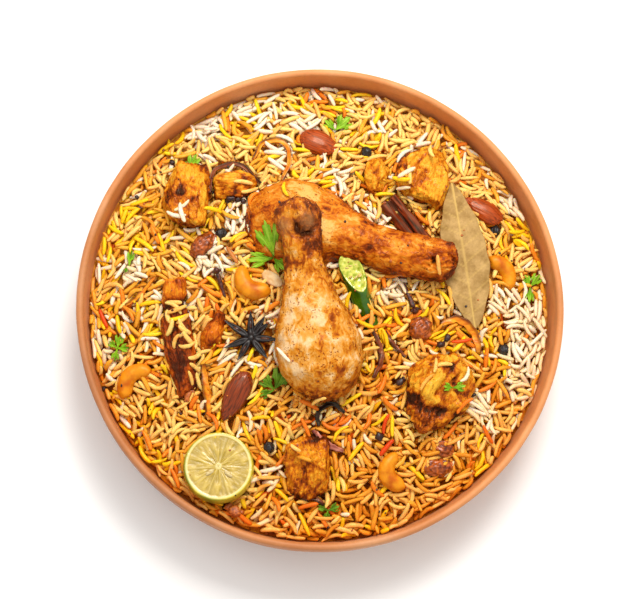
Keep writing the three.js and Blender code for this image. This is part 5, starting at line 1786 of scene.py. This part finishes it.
# Each soft square light: its direction from the dish, its distance and size in metres, its power
# and its colour.
LIGHTS = {
    "key": ((0.18, 0.75, 1.25), 1.3, 0.5, 14.5, (1, 0.97, 0.92)),
    "fill": ((-0.2, 0.25, 1.0), 1.6, 1.0, 5, (1, 0.97, 0.94)),
}

# The camera's target, its distance, and its shift across and up the picture are in millimetres.
TARGET = Vector((0, 0, 48))
CAMERA_DISTANCE = 1200
CAMERA_TILT = math.radians(10)
CAMERA_BEARING = math.radians(-17)
CAMERA_SHIFT = (-0.69, 3.125)
LENS = 127.02
SENSOR = 36
CLIP_START = 0.01


def make_stage():
    mesh = bpy.data.meshes.new("floor")
    corners = [(x * FLOOR_REACH, y * FLOOR_REACH, 0) for x, y in ((-1, -1), (1, -1), (1, 1), (-1, 1))]
    mesh.from_pydata(corners, [], [(0, 1, 2, 3)])
    floor = bpy.data.objects.new("floor", mesh)
    floor.location.z = CAD_BOX[0][2] - FLOOR_GAP
    bpy.context.collection.objects.link(floor)
    paint = Paint("floor_paint", 0.9, Base_Color=screen(250, 250, 250), Specular_IOR_Level=0.1)
    mesh.materials.append(paint.material)


def light_scene():
    world = bpy.data.worlds.new("studio")
    world.use_nodes = True
    sky = world.node_tree.nodes["Background"]
    sky.inputs["Color"].default_value = SKY_COLOUR
    sky.inputs["Strength"].default_value = SKY_STRENGTH
    bpy.context.scene.world = world
    for name, (direction, distance, size, power, colour) in LIGHTS.items():
        light = bpy.data.lights.new(name, "AREA")
        light.size = size
        light.energy = power
        light.color = colour
        holder = bpy.data.objects.new(name, light)
        away = Vector(direction).normalized()
        holder.location = TARGET * MM + away * distance
        holder.rotation_euler = away.to_track_quat("Z", "Y").to_euler()
        bpy.context.collection.objects.link(holder)
    bpy.context.scene.view_settings.view_transform = "Standard"


def place_camera():
    aside, level = math.sin(CAMERA_TILT), math.cos(CAMERA_TILT)
    back = Vector((math.sin(CAMERA_BEARING) * aside, -math.cos(CAMERA_BEARING) * aside, level))
    across = Vector((0, 1, 0)).cross(back).normalized()
    upward = back.cross(across)
    data = bpy.data.cameras.new("camera")
    data.lens = LENS
    data.sensor_width = SENSOR
    data.clip_start = CLIP_START
    camera = bpy.data.objects.new("camera", data)
    place = TARGET + back * CAMERA_DISTANCE + across * CAMERA_SHIFT[0] + upward * CAMERA_SHIFT[1]
    basis = Matrix((across, upward, back)).transposed().to_4x4()
    camera.matrix_world = Matrix.Translation(place * MM) @ basis
    bpy.context.collection.objects.link(camera)
    bpy.context.scene.camera = camera


# ---------------------------------------------------------------- the whole scene

make_dish()
make_drumsticks()
make_chunks()
make_nuts()
make_chilli()
make_cinnamon()
make_lime()
make_star_anise()
make_peppercorns()
make_cloves()
make_bay_leaf()
make_coriander()
make_onions()
make_crumbs(make_rice())
make_stage()
light_scene()
place_camera()


def plain(box):
    return [[float(value) for value in corner] for corner in box]
